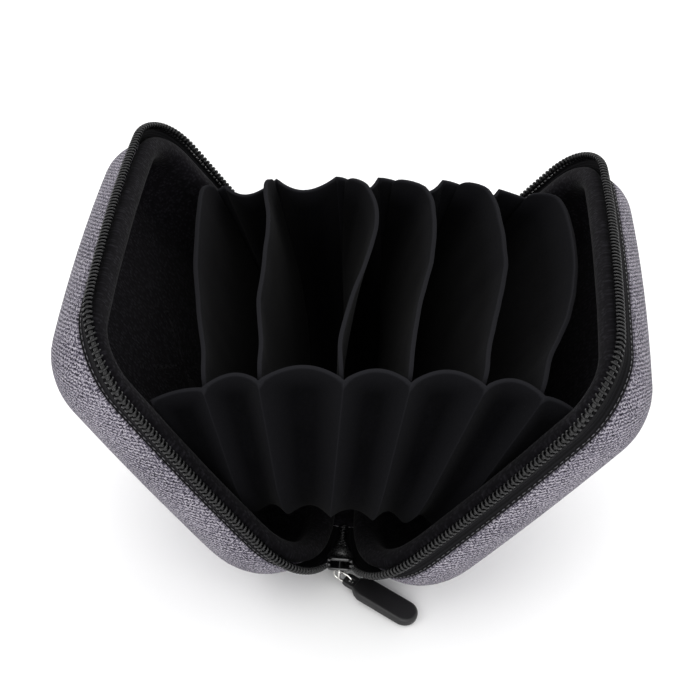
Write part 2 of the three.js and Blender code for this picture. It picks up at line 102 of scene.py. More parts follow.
class FilterCaseZipper(bpy.types.PropertyGroup):
    """Sizes of the coil zipper, its slider and its pull"""

    tooth_pitch: length("Tooth pitch", "From one coil tooth to the next", 1.5)
    tooth_wire: length("Tooth wire", "Thickness of the coil's nylon wire", 0.66)
    tooth_depth: length("Tooth depth", "Size of a tooth across the rim", 2.9)
    tooth_width: length("Tooth width", "Size of a tooth through the tape", 2.2)
    tooth_lean: length("Tooth lean", "How far a tooth leans along the rim", 0.55)
    coil_radius: length("Coil radius", "Radius of the whole coil", 1.4)
    tape_thickness: length("Tape thickness", "Thickness of the woven tape", 0.7)
    stitch_pitch: length("Stitch pitch", "From one stitch to the next", 2.1)
    stitch_length: length("Stitch length", "Length of one stitch", 1.4)
    thread: length("Thread", "Thickness of the sewing thread", 0.32)
    slider_length: length("Slider length", "Length of the slider's body", 9)
    slider_mouth: length("Slider mouth", "Width of the slider where the coils enter", 7.8)
    slider_thickness: length("Slider thickness", "Height of the slider's body", 4.2)
    slider_plate: length("Slider plate", "Thickness of each of the slider's plates", 0.95)
    slider_at: length("Slider place", "From the straight spine's end to the slider's middle", 16.5)
    stop_at: length("Stop place", "The same for the coils' other end", 16)
    bridge_gap: length("Bridge gap", "Room below the slider's bar", 2.2)
    bridge_span: length("Bridge span", "Length of the slider's bar", 4.4)
    bridge_post: length("Bridge post", "Thickness of the bridge's two posts", 0.9)
    bar_width: length("Bar width", "Width of the slider's bar", 0.8)
    link_length: length("Link length", "Length of the metal link", 7)
    link_height: length("Link height", "Height of the metal link", 4.4)
    link_band: length("Link band", "Thickness of the link's wire", 0.8)
    tab_length: length("Tab length", "Length of the rubber tab", 25)
    tab_width: length("Tab width", "Width of the rubber tab", 8.2)
    tab_thickness: length("Tab thickness", "Thickness of the rubber tab", 3)
    neck_width: length("Neck width", "Width of the tab's neck", 4.4)
    neck_thickness: length("Neck thickness", "Thickness of the tab's neck", 1.6)
    pull_yaw: angle("Pull yaw", "Turn of the pull to the side", -28)


class FilterCasePockets(bpy.types.PropertyGroup):
    """Sizes of the felt fan"""

    felt_wall: length("Folded felt", "Thickness of the folded felt walls", 1)
    divider_wall: length("Divider felt", "Thickness of a divider", 1.2)
    pocket_top: length("Pocket top", "Height of the pockets above the hinge", 79)
    pocket_floor: length("Pocket floor", "Height of the pockets' floor above the hinge", 11)
    pocket_corner: length("Pocket corner", "Radius of the fan's lower corners", 34)
    near_wall: length("Near wall", "From the middle to the near folded wall", 50)
    far_wall: length("Far wall", "From the middle to the far folded wall", 52)
    far_drop: length("Far drop", "How far the far wall stays below the dividers", 4.5)
    floor_span: length("Floor span", "Width of the fan at its floor", 56)
    end_depth: length("End depth", "How deep in the halves the fan ends", 3)
    fold_depth: length("Fold depth", "How far the felt folds inwards at most", 7)
    floor_fold: length("Floor fold", "Rise of the folds at the floor", 1.5)
    tip_radius: length("Tip radius", "Reach of a divider's rounded upper corner", 7)
    clearance: length("Clearance", "Gap between neighbours", 0.3)
    panel_gap: length("Panel gap", "Gap at the ends of the felt panels", 0.5)


class FilterCaseColours(bpy.types.PropertyGroup):
    """Colours of the case's finishes"""

    cloth_light: colour("Cloth, light yarn", "Bleached yarn of the melange", "#9f9ba3")
    cloth_mid: colour("Cloth, grey yarn", "Most of the melange's yarn", "#55515e")
    cloth_dark: colour("Cloth, dark yarn", "Dyed yarn of the melange", "#121017")
    lining: colour("Lining", "Knit lining", "#09080b")
    lining_light: colour("Lining, worn loops", "Tops of the lining's loops", "#1d1c20")
    tape: colour("Tape", "Zipper tape", "#060607")
    nylon: colour("Nylon", "Coil teeth", "#050506")
    thread: colour("Thread", "Sewing thread", "#4c4a52")
    felt: colour("Felt", "Pocket felt", "#030304")
    # The paler felt colour: the real random nap, and also the painted highlight on lit edges and fold
    # ridges and the painted light fading down into the pockets.
    felt_nap_and_highlight: colour("Felt edge", "Cut edge of the felt", "#1f1f22")
    nickel: colour("Nickel", "Plating of the bridge and link", "#d6d5d1")
    lacquer: colour("Lacquer", "Coating of the slider", "#0b0b0c")
    rubber: colour("Rubber", "Pull tab", "#0c0b0d")
    paper: colour("Floor", "Studio paper", "#fbfbfb")


# The two halves: side of the hinge, and how far below the coil line the cloth meets the tape.
HALVES = ({"name": "left", "side": -1, "seam": 6 * MM}, {"name": "right", "side": 1, "seam": 8 * MM})

# Roll of the lining's lip, from its inner side to its outer, as shares of its width and height.
LIP = (
    (0.0, 0.35),
    (0.05, 0.62),
    (0.16, 0.85),
    (0.32, 0.97),
    (0.5, 1.0),
    (0.7, 0.98),
    (0.88, 0.88),
    (1.0, 0.6),
)

# Side of the lining below its lip, going up: how far inwards and how high, in bulges of the lip.
LIP_FOOT = ((0.0, 4.0), (0.3, 2.0), (0.9, 0.2))

# Rings that dome a flat face, from its rim inwards: how far each shrinks, and its share of the crown.
CROWN_RINGS = ((0.86, 0.35), (0.8, 0.3), (0.7, 0.22), (0.45, 0.13))

# Half of the slider's outline from nose to mouth, and the wedge between its plates: width as a
# share of the mouth, place as a share of half its length.
SLIDER = ((0.54, 1.0), (0.72, 0.45), (0.97, -0.3), (1.0, -0.5), (0.96, -0.75), (0.8, -0.95), (0.6, -1.0))
WEDGE = ((0.0, -0.95), (0.23, -0.5), (0.0, 0.0), (-0.23, -0.5))

# Fold lines of the fan, left to right, as shares of half its width, and how high each rises.
FOLDS = (
    {"near": -0.93, "far": -0.97, "floor": -1.0, "rise": 0.9},
    {"near": -0.655, "far": -0.79, "floor": -0.84, "rise": 0.97},
    {"near": -0.395, "far": -0.49, "floor": -0.52, "rise": 1.02},
    {"near": -0.025, "far": -0.17, "floor": -0.14, "rise": 1.05},
    {"near": 0.26, "far": 0.05, "floor": 0.27, "rise": 1.06},
    {"near": 0.57, "far": 0.38, "floor": 0.55, "rise": 1.07},
    {"near": 0.83, "far": 0.68, "floor": 0.84, "rise": 1.045},
    {"near": 1.0, "far": 1.0, "floor": 1.0, "rise": 0.99},
)

# Panels between the fold lines: how far each folds inwards, and how far its far fold leans.
PANELS = (
    {"near": 0.2, "far": 0.0, "lean": 1.0},
    {"near": 0.65, "far": 1.0, "lean": 1.0},
    {"near": 0.9, "far": 1.0, "lean": 1.0},
    {"near": 0.75, "far": 0.95, "lean": 2.2},
    {"near": 0.85, "far": 1.0, "lean": 2.2},
    {"near": 0.7, "far": 0.85, "lean": 2.5},
    {"near": 0.15, "far": 0.0, "lean": 1.0},
)

# Sideways bow of each divider's free edge, as shares of half the fan's width, from near to far.
BOW_AT = (0.0, 0.15, 0.35, 0.55, 0.75, 0.9, 0.96, 1.0)
BOWS = (
    (0.0, -0.01, -0.055, -0.09, -0.1, -0.095, -0.07, 0.0),
    (0.0, 0.0, -0.022, -0.01, -0.01, -0.035, -0.02, 0.0),
    (0.0, -0.01, 0.045, 0.125, 0.175, 0.14, 0.065, 0.0),
    (0.0, 0.03, 0.09, 0.165, 0.21, 0.195, 0.09, 0.0),
    (0.0, 0.035, 0.11, 0.175, 0.19, 0.17, 0.09, 0.0),
    (0.0, 0.045, 0.165, 0.235, 0.26, 0.24, 0.175, 0.0),
)
BOW_RISE = 2.2  # the bow grows with this power of the height
TIP_DROP = 0.6  # share of a divider's rounded corner by which it drops


def sizes():
    return bpy.context.scene.filter_case_sizes


def zipper():
    return bpy.context.scene.filter_case_zipper


def pockets():
    return bpy.context.scene.filter_case_pockets


def colours():
    return bpy.context.scene.filter_case_colours


def lerp(a, b, t):
    return a + (b - a) * t


# Materials


def node(tree, kind, inputs=None, **settings):
    """Adds a shader node with its settings, and links or sets its inputs. A node given as an input
    stands for its first output. Inputs 1 to 4 of a Map Range are where it starts and ends, and what
    it gives there."""
    made = tree.nodes.new("ShaderNode" + kind)
    for name, value in settings.items():
        setattr(made, name, value)
    for key, value in (inputs or {}).items():
        if isinstance(value, bpy.types.Node):
            value = value.outputs[0]
        if isinstance(value, bpy.types.NodeSocket):
            tree.links.new(value, made.inputs[key])
        else:
            made.inputs[key].default_value = value
    return made


def shade(code):
    return (*code, 1.0)


def soft_surface(tree, share, dark, light, height, bump, gloss):
    """Shader inputs of a soft surface: a share from a dark colour to a light one, and a height that
    bumps it with a strength and a depth."""
    mixed = node(tree, "Mix", {0: share, 6: dark, 7: light}, data_type="RGBA")
    raised = node(tree, "Bump", {"Height": height, "Strength": bump[0], "Distance": bump[1]})
    return {"Base Color": mixed.outputs[2], "Normal": raised, **gloss}


def grained_surface(tree, colour, span, start, rough, bump=0.0):
    """Shader inputs of a hard surface with a fine grain, which varies its roughness and bumps it."""
    place = node(tree, "TexCoord").outputs["Object"]
    grain = node(tree, "TexNoise", {"Vector": place, "Scale": 1 / span})
    varied = node(tree, "MapRange", {0: grain, 1: start, 2: 0.7, 3: rough[0], 4: rough[1]})
    raised = node(tree, "Bump", {"Height": grain, "Strength": bump, "Distance": GRAIN_DEPTH})
    return {"Base Color": shade(colour), "Roughness": varied, "Normal": raised}


# Real spans of the patterns, the depths of their bumps, and the limits of noise that they read.
WAVE_SPAN = 0.314  # from band to band of a wave texture at a scale of 1

YARN_SPAN = 0.42 * MM  # coarser than real yarn, a little over a pixel of the picture
YARN_STRETCH = 0.4  # along a yarn its shade changes this much slower than across it
TWILL_SPAN = 0.85 * MM
TWILL_DEPTH = 0.055
CLOUD_SPAN = 9 * MM
CLOUD_DEPTH = 0.018
DARK_YARN = (0.41, 0.49)
LIGHT_YARN = (0.51, 0.59)
CLOTH_BUMP = (0.4, 0.2 * MM)

WALE_SPAN = 0.9 * MM
COURSE_SPAN = 1.286 * MM
FUZZ_SPAN = 0.7 * MM
KNIT_BUMP = (0.7, 0.3 * MM)

RIB_SPAN = 1.206 * MM
PICK_SPAN = 0.5 * MM
TAPE_BUMP = (0.6, 0.2 * MM)

PLY_SPAN = 0.4 * MM

FIBRE_SPAN = 0.8 * MM
PATCH_SPAN = 14 * MM
FELT_BUMP = (0.45, 0.25 * MM)
# Painted light on the felt: where each pale band starts and ends, from the edge, and how pale it is at its
# start. The first band is a painted highlight at the lit edge, the second is painted light fading down into
# the pocket.
FELT_PAINTED_LIGHT = ((0.25 * MM, 1.3 * MM, 0.8), (1 * MM, 10 * MM, 0.3))

GRAIN_DEPTH = 0.05 * MM
WIRE_HAZE = 2 * MM
LACQUER_SPECK = 0.5 * MM
RUBBER_GRAIN = 0.35 * MM
PLATE_PEEL = 0.9 * MM
PLATE_SCUFF = 0.3 * MM

PAPER_TOOTH = 2.5 * MM


def melange_twill_laminated(tree):
    """Melange polyester twill, laminated on moulded foam: bleached and dyed fibres are spun
    together, so that every yarn changes from light to dark along its length. The twill's slanting
    lines show as a fine grain, with a dry look and no gloss."""
    c = colours()
    weave = node(tree, "UVMap", uv_map="weave")
    yarns = []
    for stretch in ((YARN_STRETCH, 1.0), (1.0, YARN_STRETCH)):
        scale = (stretch[0] / YARN_SPAN, stretch[1] / YARN_SPAN, 1)
        scaled = node(tree, "Mapping", {"Vector": weave, "Scale": scale})
        yarns.append(node(tree, "TexNoise", {"Vector": scaled, "Scale": 1.0, "Roughness": 0.6}))
    over = node(tree, "TexChecker", {"Vector": weave, "Scale": 1 / YARN_SPAN}).outputs["Fac"]
    speck = node(tree, "Mix", {0: over, 2: yarns[0], 3: yarns[1]}, data_type="FLOAT")
    twill = node(
        tree,
        "TexWave",
        {"Vector": weave, "Scale": WAVE_SPAN / TWILL_SPAN, "Distortion": 0.7, "Detail Scale": 3.0},
        wave_type="BANDS",
        bands_direction="DIAGONAL",
    ).outputs["Fac"]
    place = node(tree, "TexCoord").outputs["Object"]
    clouds = node(tree, "TexNoise", {"Vector": place, "Scale": 1 / CLOUD_SPAN, "Detail": 3.0})
    for pattern, start, end, depth in ((twill, 0.0, 1.0, TWILL_DEPTH), (clouds, 0.3, 0.7, CLOUD_DEPTH)):
        change = node(tree, "MapRange", {0: pattern, 1: start, 2: end, 3: -depth, 4: depth})
        speck = node(tree, "Math", {0: speck, 1: change}, operation="ADD")
    dark, light = [node(tree, "MapRange", {0: speck, 1: a, 2: b}) for a, b in (DARK_YARN, LIGHT_YARN)]
    ground = node(tree, "Mix", {0: dark, 6: shade(c.cloth_dark), 7: shade(c.cloth_mid)}, data_type="RGBA")
    gloss = {"Roughness": 0.95, "Sheen Weight": 0.05, "Sheen Roughness": 0.5, "Specular IOR Level": 0.15}
    return soft_surface(tree, light, ground.outputs[2], shade(c.cloth_light), speck, CLOTH_BUMP, gloss)


def warp_knit_polyester(tree):
    """Warp-knit polyester lining, brushed: a soft black with paler loop tops that show as a grain."""
    c = colours()
    weave = node(tree, "UVMap", uv_map="weave")
    scaled = node(tree, "Mapping", {"Vector": weave, "Scale": (1 / WALE_SPAN, 1 / COURSE_SPAN, 1)})
    loops = node(tree, "TexVoronoi", {"Vector": scaled, "Scale": 1.0, "Randomness": 0.75})
    fuzz = node(
        tree, "TexNoise", {"Vector": weave, "Scale": 1 / FUZZ_SPAN, "Detail": 3.0, "Roughness": 0.65}
    )
    tops = node(tree, "MapRange", {0: loops, 1: 0.0, 2: 0.75, 3: 1.0, 4: 0.0})
    height = node(tree, "Math", {0: tops, 1: fuzz}, operation="MULTIPLY")
    share = node(tree, "MapRange", {0: height, 1: 0.1, 2: 0.5})
    gloss = {"Roughness": 0.95, "Sheen Weight": 0.03, "Sheen Roughness": 0.4, "Specular IOR Level": 0.08}
    return soft_surface(tree, share, shade(c.lining), shade(c.lining_light), height, KNIT_BUMP, gloss)


def woven_polyester_tape(tree):
    """Woven polyester zipper tape, dyed black: tight ribs run along it and catch a thin gloss."""
    c = colours()
    weave = node(tree, "UVMap", uv_map="weave")
    ribs = node(
        tree,
        "TexWave",
        {"Vector": weave, "Scale": WAVE_SPAN / RIB_SPAN, "Distortion": 0.6, "Detail": 1.0},
        wave_type="BANDS",
        bands_direction="Y",
    ).outputs["Fac"]
    picks = node(tree, "TexNoise", {"Vector": weave, "Scale": 1 / PICK_SPAN})
    height = node(tree, "Math", {0: ribs, 1: picks}, operation="MULTIPLY")
    share = node(tree, "MapRange", {0: height, 1: 0.15, 2: 0.6, 4: 0.45})
    gloss = {"Roughness": 0.85, "Specular IOR Level": 0.1}
    return soft_surface(tree, share, shade(c.tape), shade(c.lining_light), height, TAPE_BUMP, gloss)


def pressed_polyester_felt(tree):
    """Pressed polyester felt, black: matted fibres with a faint nap. It is paler where the sheet is cut, as
    a painted highlight on the lit edge, and, less so, below a free edge and along a fold, as painted light
    that fades down into the pocket."""
    c = colours()
    place = node(tree, "TexCoord").outputs["Object"]
    fibres = node(
        tree, "TexNoise", {"Vector": place, "Scale": 1 / FIBRE_SPAN, "Detail": 4.0, "Roughness": 0.7}
    )
    patches = node(tree, "TexNoise", {"Vector": place, "Scale": 1 / PATCH_SPAN})
    nap = node(tree, "Math", {0: fibres, 1: patches}, operation="MULTIPLY")
    share = node(tree, "MapRange", {0: nap, 1: 0.15, 2: 0.4, 4: 0.08})
    from_edge = node(tree, "SeparateXYZ", {0: node(tree, "UVMap", uv_map="weave")}).outputs["Y"]
    # Painted highlight along lit edges and fold ridges, and painted light fading down into the pockets,
    # laid over the nap.
    for start, end, pale in FELT_PAINTED_LIGHT:
        lightened = node(tree, "MapRange", {0: from_edge, 1: start, 2: end, 3: pale, 4: 0.0})
        share = node(tree, "Math", {0: share, 1: lightened}, operation="MAXIMUM")
    gloss = {"Roughness": 1.0, "Sheen Weight": 0.012, "Sheen Roughness": 0.45, "Specular IOR Level": 0.03}
    return soft_surface(tree, share, shade(c.felt), shade(c.felt_nap_and_highlight), fibres, FELT_BUMP, gloss)


def twisted_polyester_thread(tree):
    """Twisted polyester thread: dark grey with a light ply twist, glossier than the cloth."""
    c = colours()
    place = node(tree, "TexCoord").outputs["Object"]
    ply = node(tree, "TexNoise", {"Vector": place, "Scale": 1 / PLY_SPAN, "Detail": 1.0})
    share = node(tree, "MapRange", {0: ply, 1: 0.35, 2: 0.65})
    mixed = node(tree, "Mix", {0: share, 6: shade(c.tape), 7: shade(c.thread)}, data_type="RGBA")
    return {"Base Color": mixed.outputs[2], "Roughness": 0.45, "Sheen Weight": 0.3}


def extruded_nylon_wire(tree):
    """Extruded nylon wire, black: smooth and satin, so that each tooth carries one small glint."""
    look = grained_surface(tree, colours().nylon, WIRE_HAZE, 0.3, (0.22, 0.38))
    return {**look, "Specular IOR Level": 0.35}


def lacquered_zinc(tree):
    """Die-cast zinc, black lacquer: a thick glossy coat that rounds every edge, with faint specks."""
    look = grained_surface(tree, colours().lacquer, LACQUER_SPECK, 0.35, (0.25, 0.4), 0.15)
    return {**look, "Coat Weight": 0.4, "Coat Roughness": 0.15}


def moulded_soft_pvc(tree):
    """Injection-moulded soft PVC, black: a spark-eroded mould leaves a fine satin grain."""
    return grained_surface(tree, colours().rubber, RUBBER_GRAIN, 0.3, (0.42, 0.58), 0.2)


def nickel_plated_zinc(tree):
    """Die-cast zinc, bright nickel plate: mirror-like with a faint orange peel and fine scuffs."""
    place = node(tree, "TexCoord").outputs["Object"]
    peel = node(tree, "TexNoise", {"Vector": place, "Scale": 1 / PLATE_PEEL})
    scuffs = node(
        tree, "TexNoise", {"Vector": place, "Scale": 1 / PLATE_SCUFF, "Detail": 3.0, "Distortion": 1.5}
    )
    rough = node(tree, "MapRange", {0: scuffs, 1: 0.35, 2: 0.7, 3: 0.14, 4: 0.32})
    raised = node(tree, "Bump", {"Height": peel, "Strength": 0.15, "Distance": GRAIN_DEPTH})
    return {"Base Color": shade(colours().nickel), "Metallic": 1.0, "Roughness": rough, "Normal": raised}


def matt_studio_paper(tree):
    """Matt studio paper, uncoated: an even white with the faintest tooth."""
    place = node(tree, "TexCoord").outputs["Object"]
    tooth = node(tree, "TexNoise", {"Vector": place, "Scale": 1 / PAPER_TOOTH})
    raised = node(tree, "Bump", {"Height": tooth, "Strength": 0.02, "Distance": 0.1 * MM})
    look = {"Base Color": shade(colours().paper), "Normal": raised}
    return {**look, "Roughness": 0.9, "Specular IOR Level": 0.1}


FINISHES = {
    "shell_cloth": melange_twill_laminated,
    "lining_knit": warp_knit_polyester,
    "zipper_tape": woven_polyester_tape,
    "zipper_coil": extruded_nylon_wire,
    "thread": twisted_polyester_thread,
    "pocket_felt": pressed_polyester_felt,
    "zipper_metal": nickel_plated_zinc,
    "slider_lacquer": lacquered_zinc,
    "pull_rubber": moulded_soft_pvc,
    "paper": matt_studio_paper,
}
made_finishes = {}


def finish(name):
    """A finish's material, made when a piece first asks for it and named for what it is."""
    if name not in made_finishes:
        made = bpy.data.materials.new(FINISHES[name].__name__)
        made.use_nodes = True
        made.node_tree.nodes.clear()
        shader = node(made.node_tree, "BsdfPrincipled", FINISHES[name](made.node_tree))
        node(made.node_tree, "OutputMaterial", {"Surface": shader})
        made_finishes[name] = made
    return made_finishes[name]


# Mesh helpers


def add_piece(name, bm, look, body="case", stands_for=(), slot=None, sharp=None):
    """Turns a bmesh into a finished piece that rides on a body. The slot is not used, and edges stay sharp
    from an angle in degrees."""
    bm.normal_update()
    mesh = bpy.data.meshes.new(name)
    bm.to_mesh(mesh)
    bm.free()
    mesh.shade_smooth()
    if sharp is not None:
        mesh.set_sharp_from_angle(angle=math.radians(sharp))
    mesh.materials.append(finish(look))
    made = bpy.data.objects.new(name, mesh)
    bpy.context.scene.collection.objects.link(made)
    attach(made, body)
    if stands_for:
        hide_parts(*stands_for)
    slot or look
    return made


def face_outwards(bm):
    bmesh.ops.recalc_face_normals(bm, faces=bm.faces)


def verts_of(geometry):
    return [part for part in geometry if isinstance(part, bmesh.types.BMVert)]


def wire_ring(bm, radius, sides):
    """Adds a ring of edges, the section of a wire, and gives its vertices."""
    return bmesh.ops.create_circle(bm, cap_ends=False, radius=radius, segments=sides)["verts"]


def cap_ends(bm, *ends):
    """Closes each ring of edges with a face."""
    for ring in ends:
        bmesh.ops.contextual_create(bm, geom=ring)


def run_of(points):
    """Length of a line through points."""
    line = [Vector(point) for point in points]
    return sum((b - a).length for a, b in zip(line, line[1:]))


def carry(bm, edges, legs, axis):
    """Carries a chain of edges along straight and turning legs, leaving faces behind it."""
    for kind, where, steps in legs:
        for _ in range(steps):
            made = bmesh.ops.extrude_edge_only(bm, edges=edges)["geom"]
            verts = verts_of(made)
            edges = [part for part in made if isinstance(part, bmesh.types.BMEdge)]
            edges = [edge for edge in edges if set(edge.verts) <= set(verts)]
            if kind == "line":
                bmesh.ops.translate(bm, vec=where / steps, verts=verts)
            else:
                centre, swing = where
                turn = Matrix.Rotation(swing / steps, 3, axis)
                bmesh.ops.rotate(bm, cent=centre, matrix=turn, verts=verts)
    return edges


CORNER_STEPS = 12
SIDE_STEPS = 8
SPINE_STEPS = 3
MERGED = 0.001 * MM


def rim_legs(whole, start, stop):
    """The way round a rim at the coil line, from the far end of the spine to the near end, with the
    first and last turns shortened by angles. A whole rim starts and ends mid-spine."""
    s = sizes()
    half, quarter = s.rim_width / 2, math.pi / 2
    spine, free = s.spine_corner, s.free_corner
    rise = Vector((0, 0, s.rim_height - spine - free))
    over = Vector((0, 2 * (half - free), 0))
    middle = Vector((0, half - spine, 0))
    legs = [
        ("turn", (Vector((0, half - spine, spine)), quarter - start), CORNER_STEPS),
        ("line", rise, SIDE_STEPS),
        ("turn", (Vector((0, half - free, s.rim_height - free)), quarter), CORNER_STEPS),
        ("line", -over, SIDE_STEPS),
        ("turn", (Vector((0, free - half, s.rim_height - free)), quarter), CORNER_STEPS),
        ("line", -rise, SIDE_STEPS),
        ("turn", (Vector((0, spine - half, spine)), quarter - stop), CORNER_STEPS),
    ]
    return [("line", middle, SPINE_STEPS), *legs, ("line", middle, SPINE_STEPS)] if whole else legs


def sweep_rim(bm, section, whole=True, stop=0.0):
    """Draws a section of (offset, depth) points and carries it round the rim. Round a whole rim it
    is an open line, and otherwise a loop that is closed at both ends of its way."""
    s = sizes()
    begin = Vector((0, 0 if whole else s.rim_width / 2 - s.spine_corner, 0))
    ring = [bm.verts.new(begin + Vector((depth, 0, -offset))) for offset, depth in section]
    pairs = list(zip(ring, ring[1:])) + ([] if whole else [(ring[-1], ring[0])])
    first = [bm.edges.new(pair) for pair in pairs]
    last = carry(bm, first, rim_legs(whole, 0, stop), "X")
    if whole:
        bmesh.ops.remove_doubles(bm, verts=bm.verts, dist=MERGED)
    else:
        cap_ends(bm, first, last)


def rim_place(y, z):
    """How far round the rim a point in a half's plane lies, from mid-spine, and how far outside the
    coil line."""
    s = sizes()
    half, spine, free, top = s.rim_width / 2, s.spine_corner, s.free_corner, s.rim_height
    flat, quarter = half - spine, math.pi / 2
    low = flat + spine * quarter
    high = low + top - spine - free
    whole = high + free * quarter + half - free
    a = abs(y)
    if a > flat and z < spine:
        run = flat + spine * math.atan2(a - flat, spine - z)
        out = math.hypot(a - flat, spine - z) - spine
    elif a > half - free and z > top - free:
        run = high + free * math.atan2(z - top + free, a - half + free)
        out = math.hypot(z - top + free, a - half + free) - free
    else:
        out, run = max((-z, a), (a - half, low + z - spine), (z - top, whole - a))
    return (run if y >= 0 else 2 * whole - run), out


FACE_TILT = math.radians(25)
RING_TILT = math.acos(0.99)


def lay_weave(bm):
    """Writes the weave's UV map in metres: flat on a face, and round the rim and down its side
    elsewhere."""
    layer = bm.loops.layers.uv.new("weave")
    for face in bm.faces:
        centre = face.calc_center_median()
        tilt = FACE_TILT if len(face.verts) > 4 else RING_TILT
        flat = abs(face.normal.x) > math.cos(tilt)
        for loop in face.loops:
            p = loop.vert.co.lerp(centre, 0.02)  # a little inside, so that no corner lies on a border
            run, out = rim_place(p.y, p.z)
            loop[layer].uv = (p.y, p.z) if flat else (run, p.x - out)


def swell(bm):
    """Bows the rim's sides outwards."""
    s = sizes()
    for v in bm.verts:
        across = 2 * v.co.y / s.rim_width
        up = 2 * v.co.z / s.rim_height - 1
        v.co.y += s.side_bow * across * max(0, 1 - up * up)
        v.co.z += s.side_bow * max(0, up) * max(0, 1 - across * across)


def stand_height():
    """Height of the hinge line above the surface, on the two spine fillets."""
    s = sizes()
    foot = s.half_depth - s.face_fillet
    sine, cosine = math.sin(s.open_angle), math.cos(s.open_angle)
    return foot * sine - (s.shell_tuck + s.face_fillet) * cosine + s.face_fillet


def lean_out(bm, half):
    """Bows a half and turns it from its own plane, depth along X, to where it leans on the hinge."""
    swell(bm)
    side = half["side"]
    bmesh.ops.scale(bm, vec=(side, 1, 1), verts=bm.verts)
    if side < 0:
        bmesh.ops.reverse_faces(bm, faces=bm.faces)
    turn = Matrix.Translation((0, 0, stand_height())) @ Matrix.Rotation(side * sizes().open_angle, 4, "Y")
    bmesh.ops.transform(bm, matrix=turn, verts=bm.verts)


def quarter_round(inset, face, radius, start, end, steps=8):
    """Points of the quarter round between a half's side wall and its flat face."""
    turns = [math.radians(lerp(start, end, i / steps)) for i in range(steps + 1)]
    return [(-inset - radius + radius * math.cos(t), face - radius + radius * math.sin(t)) for t in turns]


def cap_open_rims(bm, crown):
    """Closes the open rims of a swept wall with faces, domed a little outwards."""
    rims = [edge for edge in bm.edges if edge.is_boundary]
    caps = bmesh.ops.holes_fill(bm, edges=rims, sides=0)["faces"]
    face_outwards(bm)
    for cap in caps:
        for shrink, share in CROWN_RINGS:
            bmesh.ops.inset_individual(bm, faces=[cap], thickness=0, depth=0)
            middle = Matrix.Translation(-cap.calc_center_median())
            bmesh.ops.scale(bm, vec=(1, shrink, shrink), space=middle, verts=cap.verts)
            bmesh.ops.translate(bm, vec=(crown * share, 0, 0), verts=cap.verts)


# Pieces of a half


SHELL_NOSE = 0.45 * MM  # rounding of the cloth where it meets the tape
NOSE_CUT = 0.3
SIDE_RING = 0.6  # share of the way down the shell's side at which it has a ring
TURN_STEPS = 12


def shell(half):
    """Moulded half shell: cloth over foam, its edge turned in where the tape is sewn on."""
    s, z = sizes(), zipper()
    inner = s.shell_tuck + s.shell_wall
    seat = z.tape_thickness + pockets().clearance
    seam, foot = half["seam"], s.half_depth - s.face_fillet
    section = [
        *quarter_round(inner, s.half_depth - s.shell_wall, s.face_fillet - s.shell_wall, 90, 0),
        (-inner, s.shell_edge),
        (-s.shell_tuck - seat, s.shell_edge),
        (-s.shell_tuck - seat, seam),
        (-s.shell_tuck - SHELL_NOSE, seam),
        (-s.shell_tuck - NOSE_CUT * SHELL_NOSE, seam + NOSE_CUT * SHELL_NOSE),
        (-s.shell_tuck, seam + SHELL_NOSE),
        (-s.shell_tuck, lerp(seam, foot, SIDE_RING)),
        *quarter_round(s.shell_tuck, s.half_depth, s.face_fillet, 0, 90, TURN_STEPS),
    ]
    bm = bmesh.new()
    sweep_rim(bm, section)
    cap_open_rims(bm, s.face_crown)
    lay_weave(bm)
    lean_out(bm, half)
    face_outwards(bm)
    name = "shell_" + half["name"]
    made = add_piece(name + "_cloth", bm, "shell_cloth", stands_for=[name], sharp=55)


def lining(half):
    """Knit lining: a cup inside the shell, rolled over its edge as a padded lip."""
    s = sizes()
    gap = pockets().clearance
    inset = s.shell_tuck + s.shell_wall + gap + s.lining_wall
    skin = inset - s.lining_wall
    depth = s.half_depth - s.shell_wall - gap
    radius = s.face_fillet - s.shell_wall - gap
    foot = s.shell_edge - gap
    roll = inset + s.lip_bulge
    seat = zipper().tape_thickness + gap
    section = [
        *quarter_round(inset, depth - s.lining_wall, radius - s.lining_wall, 90, 0),
        *[(-inset - inwards * s.lip_bulge, foot + up * s.lip_bulge) for inwards, up in LIP_FOOT],
        *[(lerp(-roll, -s.lip_gap, across), foot - up * s.lip_height) for across, up in LIP],
        (-s.shell_tuck - seat, foot),
        (-skin, foot),
        *quarter_round(skin, depth, radius, 0, 90),
    ]
    bm = bmesh.new()
    sweep_rim(bm, section)
    cap_open_rims(bm, 0)
    lay_weave(bm)
    soften_lip(bm, foot)
    lean_out(bm, half)
    face_outwards(bm)
    name = "lining_" + half["name"]
    made = add_piece(name + "_knit", bm, "lining_knit", stands_for=[name])
    finer = made.modifiers.new("Subdivision", "SUBSURF")
    finer.levels = finer.render_levels = 1


PUFF_REACH = 3 * MM
PUFF_FADE = 4 * MM
PUFF_DEPTH = 0.35 * MM
PUFF_LENGTH = 16 * MM
PUFF_HEIGHT = 9 * MM


def soften_lip(bm, foot):
    """Gives the padded lip the small swellings of a hand-turned edge."""
    for v in bm.verts:
        below = foot + PUFF_REACH - v.co.x
        if below >= 0:
            run, _ = rim_place(v.co.y, v.co.z)
            puff = noise.noise(Vector((run / PUFF_LENGTH, v.co.x / PUFF_HEIGHT, 0.3)))
            v.co.x += PUFF_DEPTH * puff * min(1.0, below / PUFF_FADE)


TAPE_UNDER = 0.4 * MM  # how far the tape reaches in under the coil
TAPE_EDGE = 0.6 * MM
TAPE_PROUD = 0.05 * MM
TAPE_BEND = (0.55, 0.6)  # share of its way outwards that the tape is at half its height, inside and outside


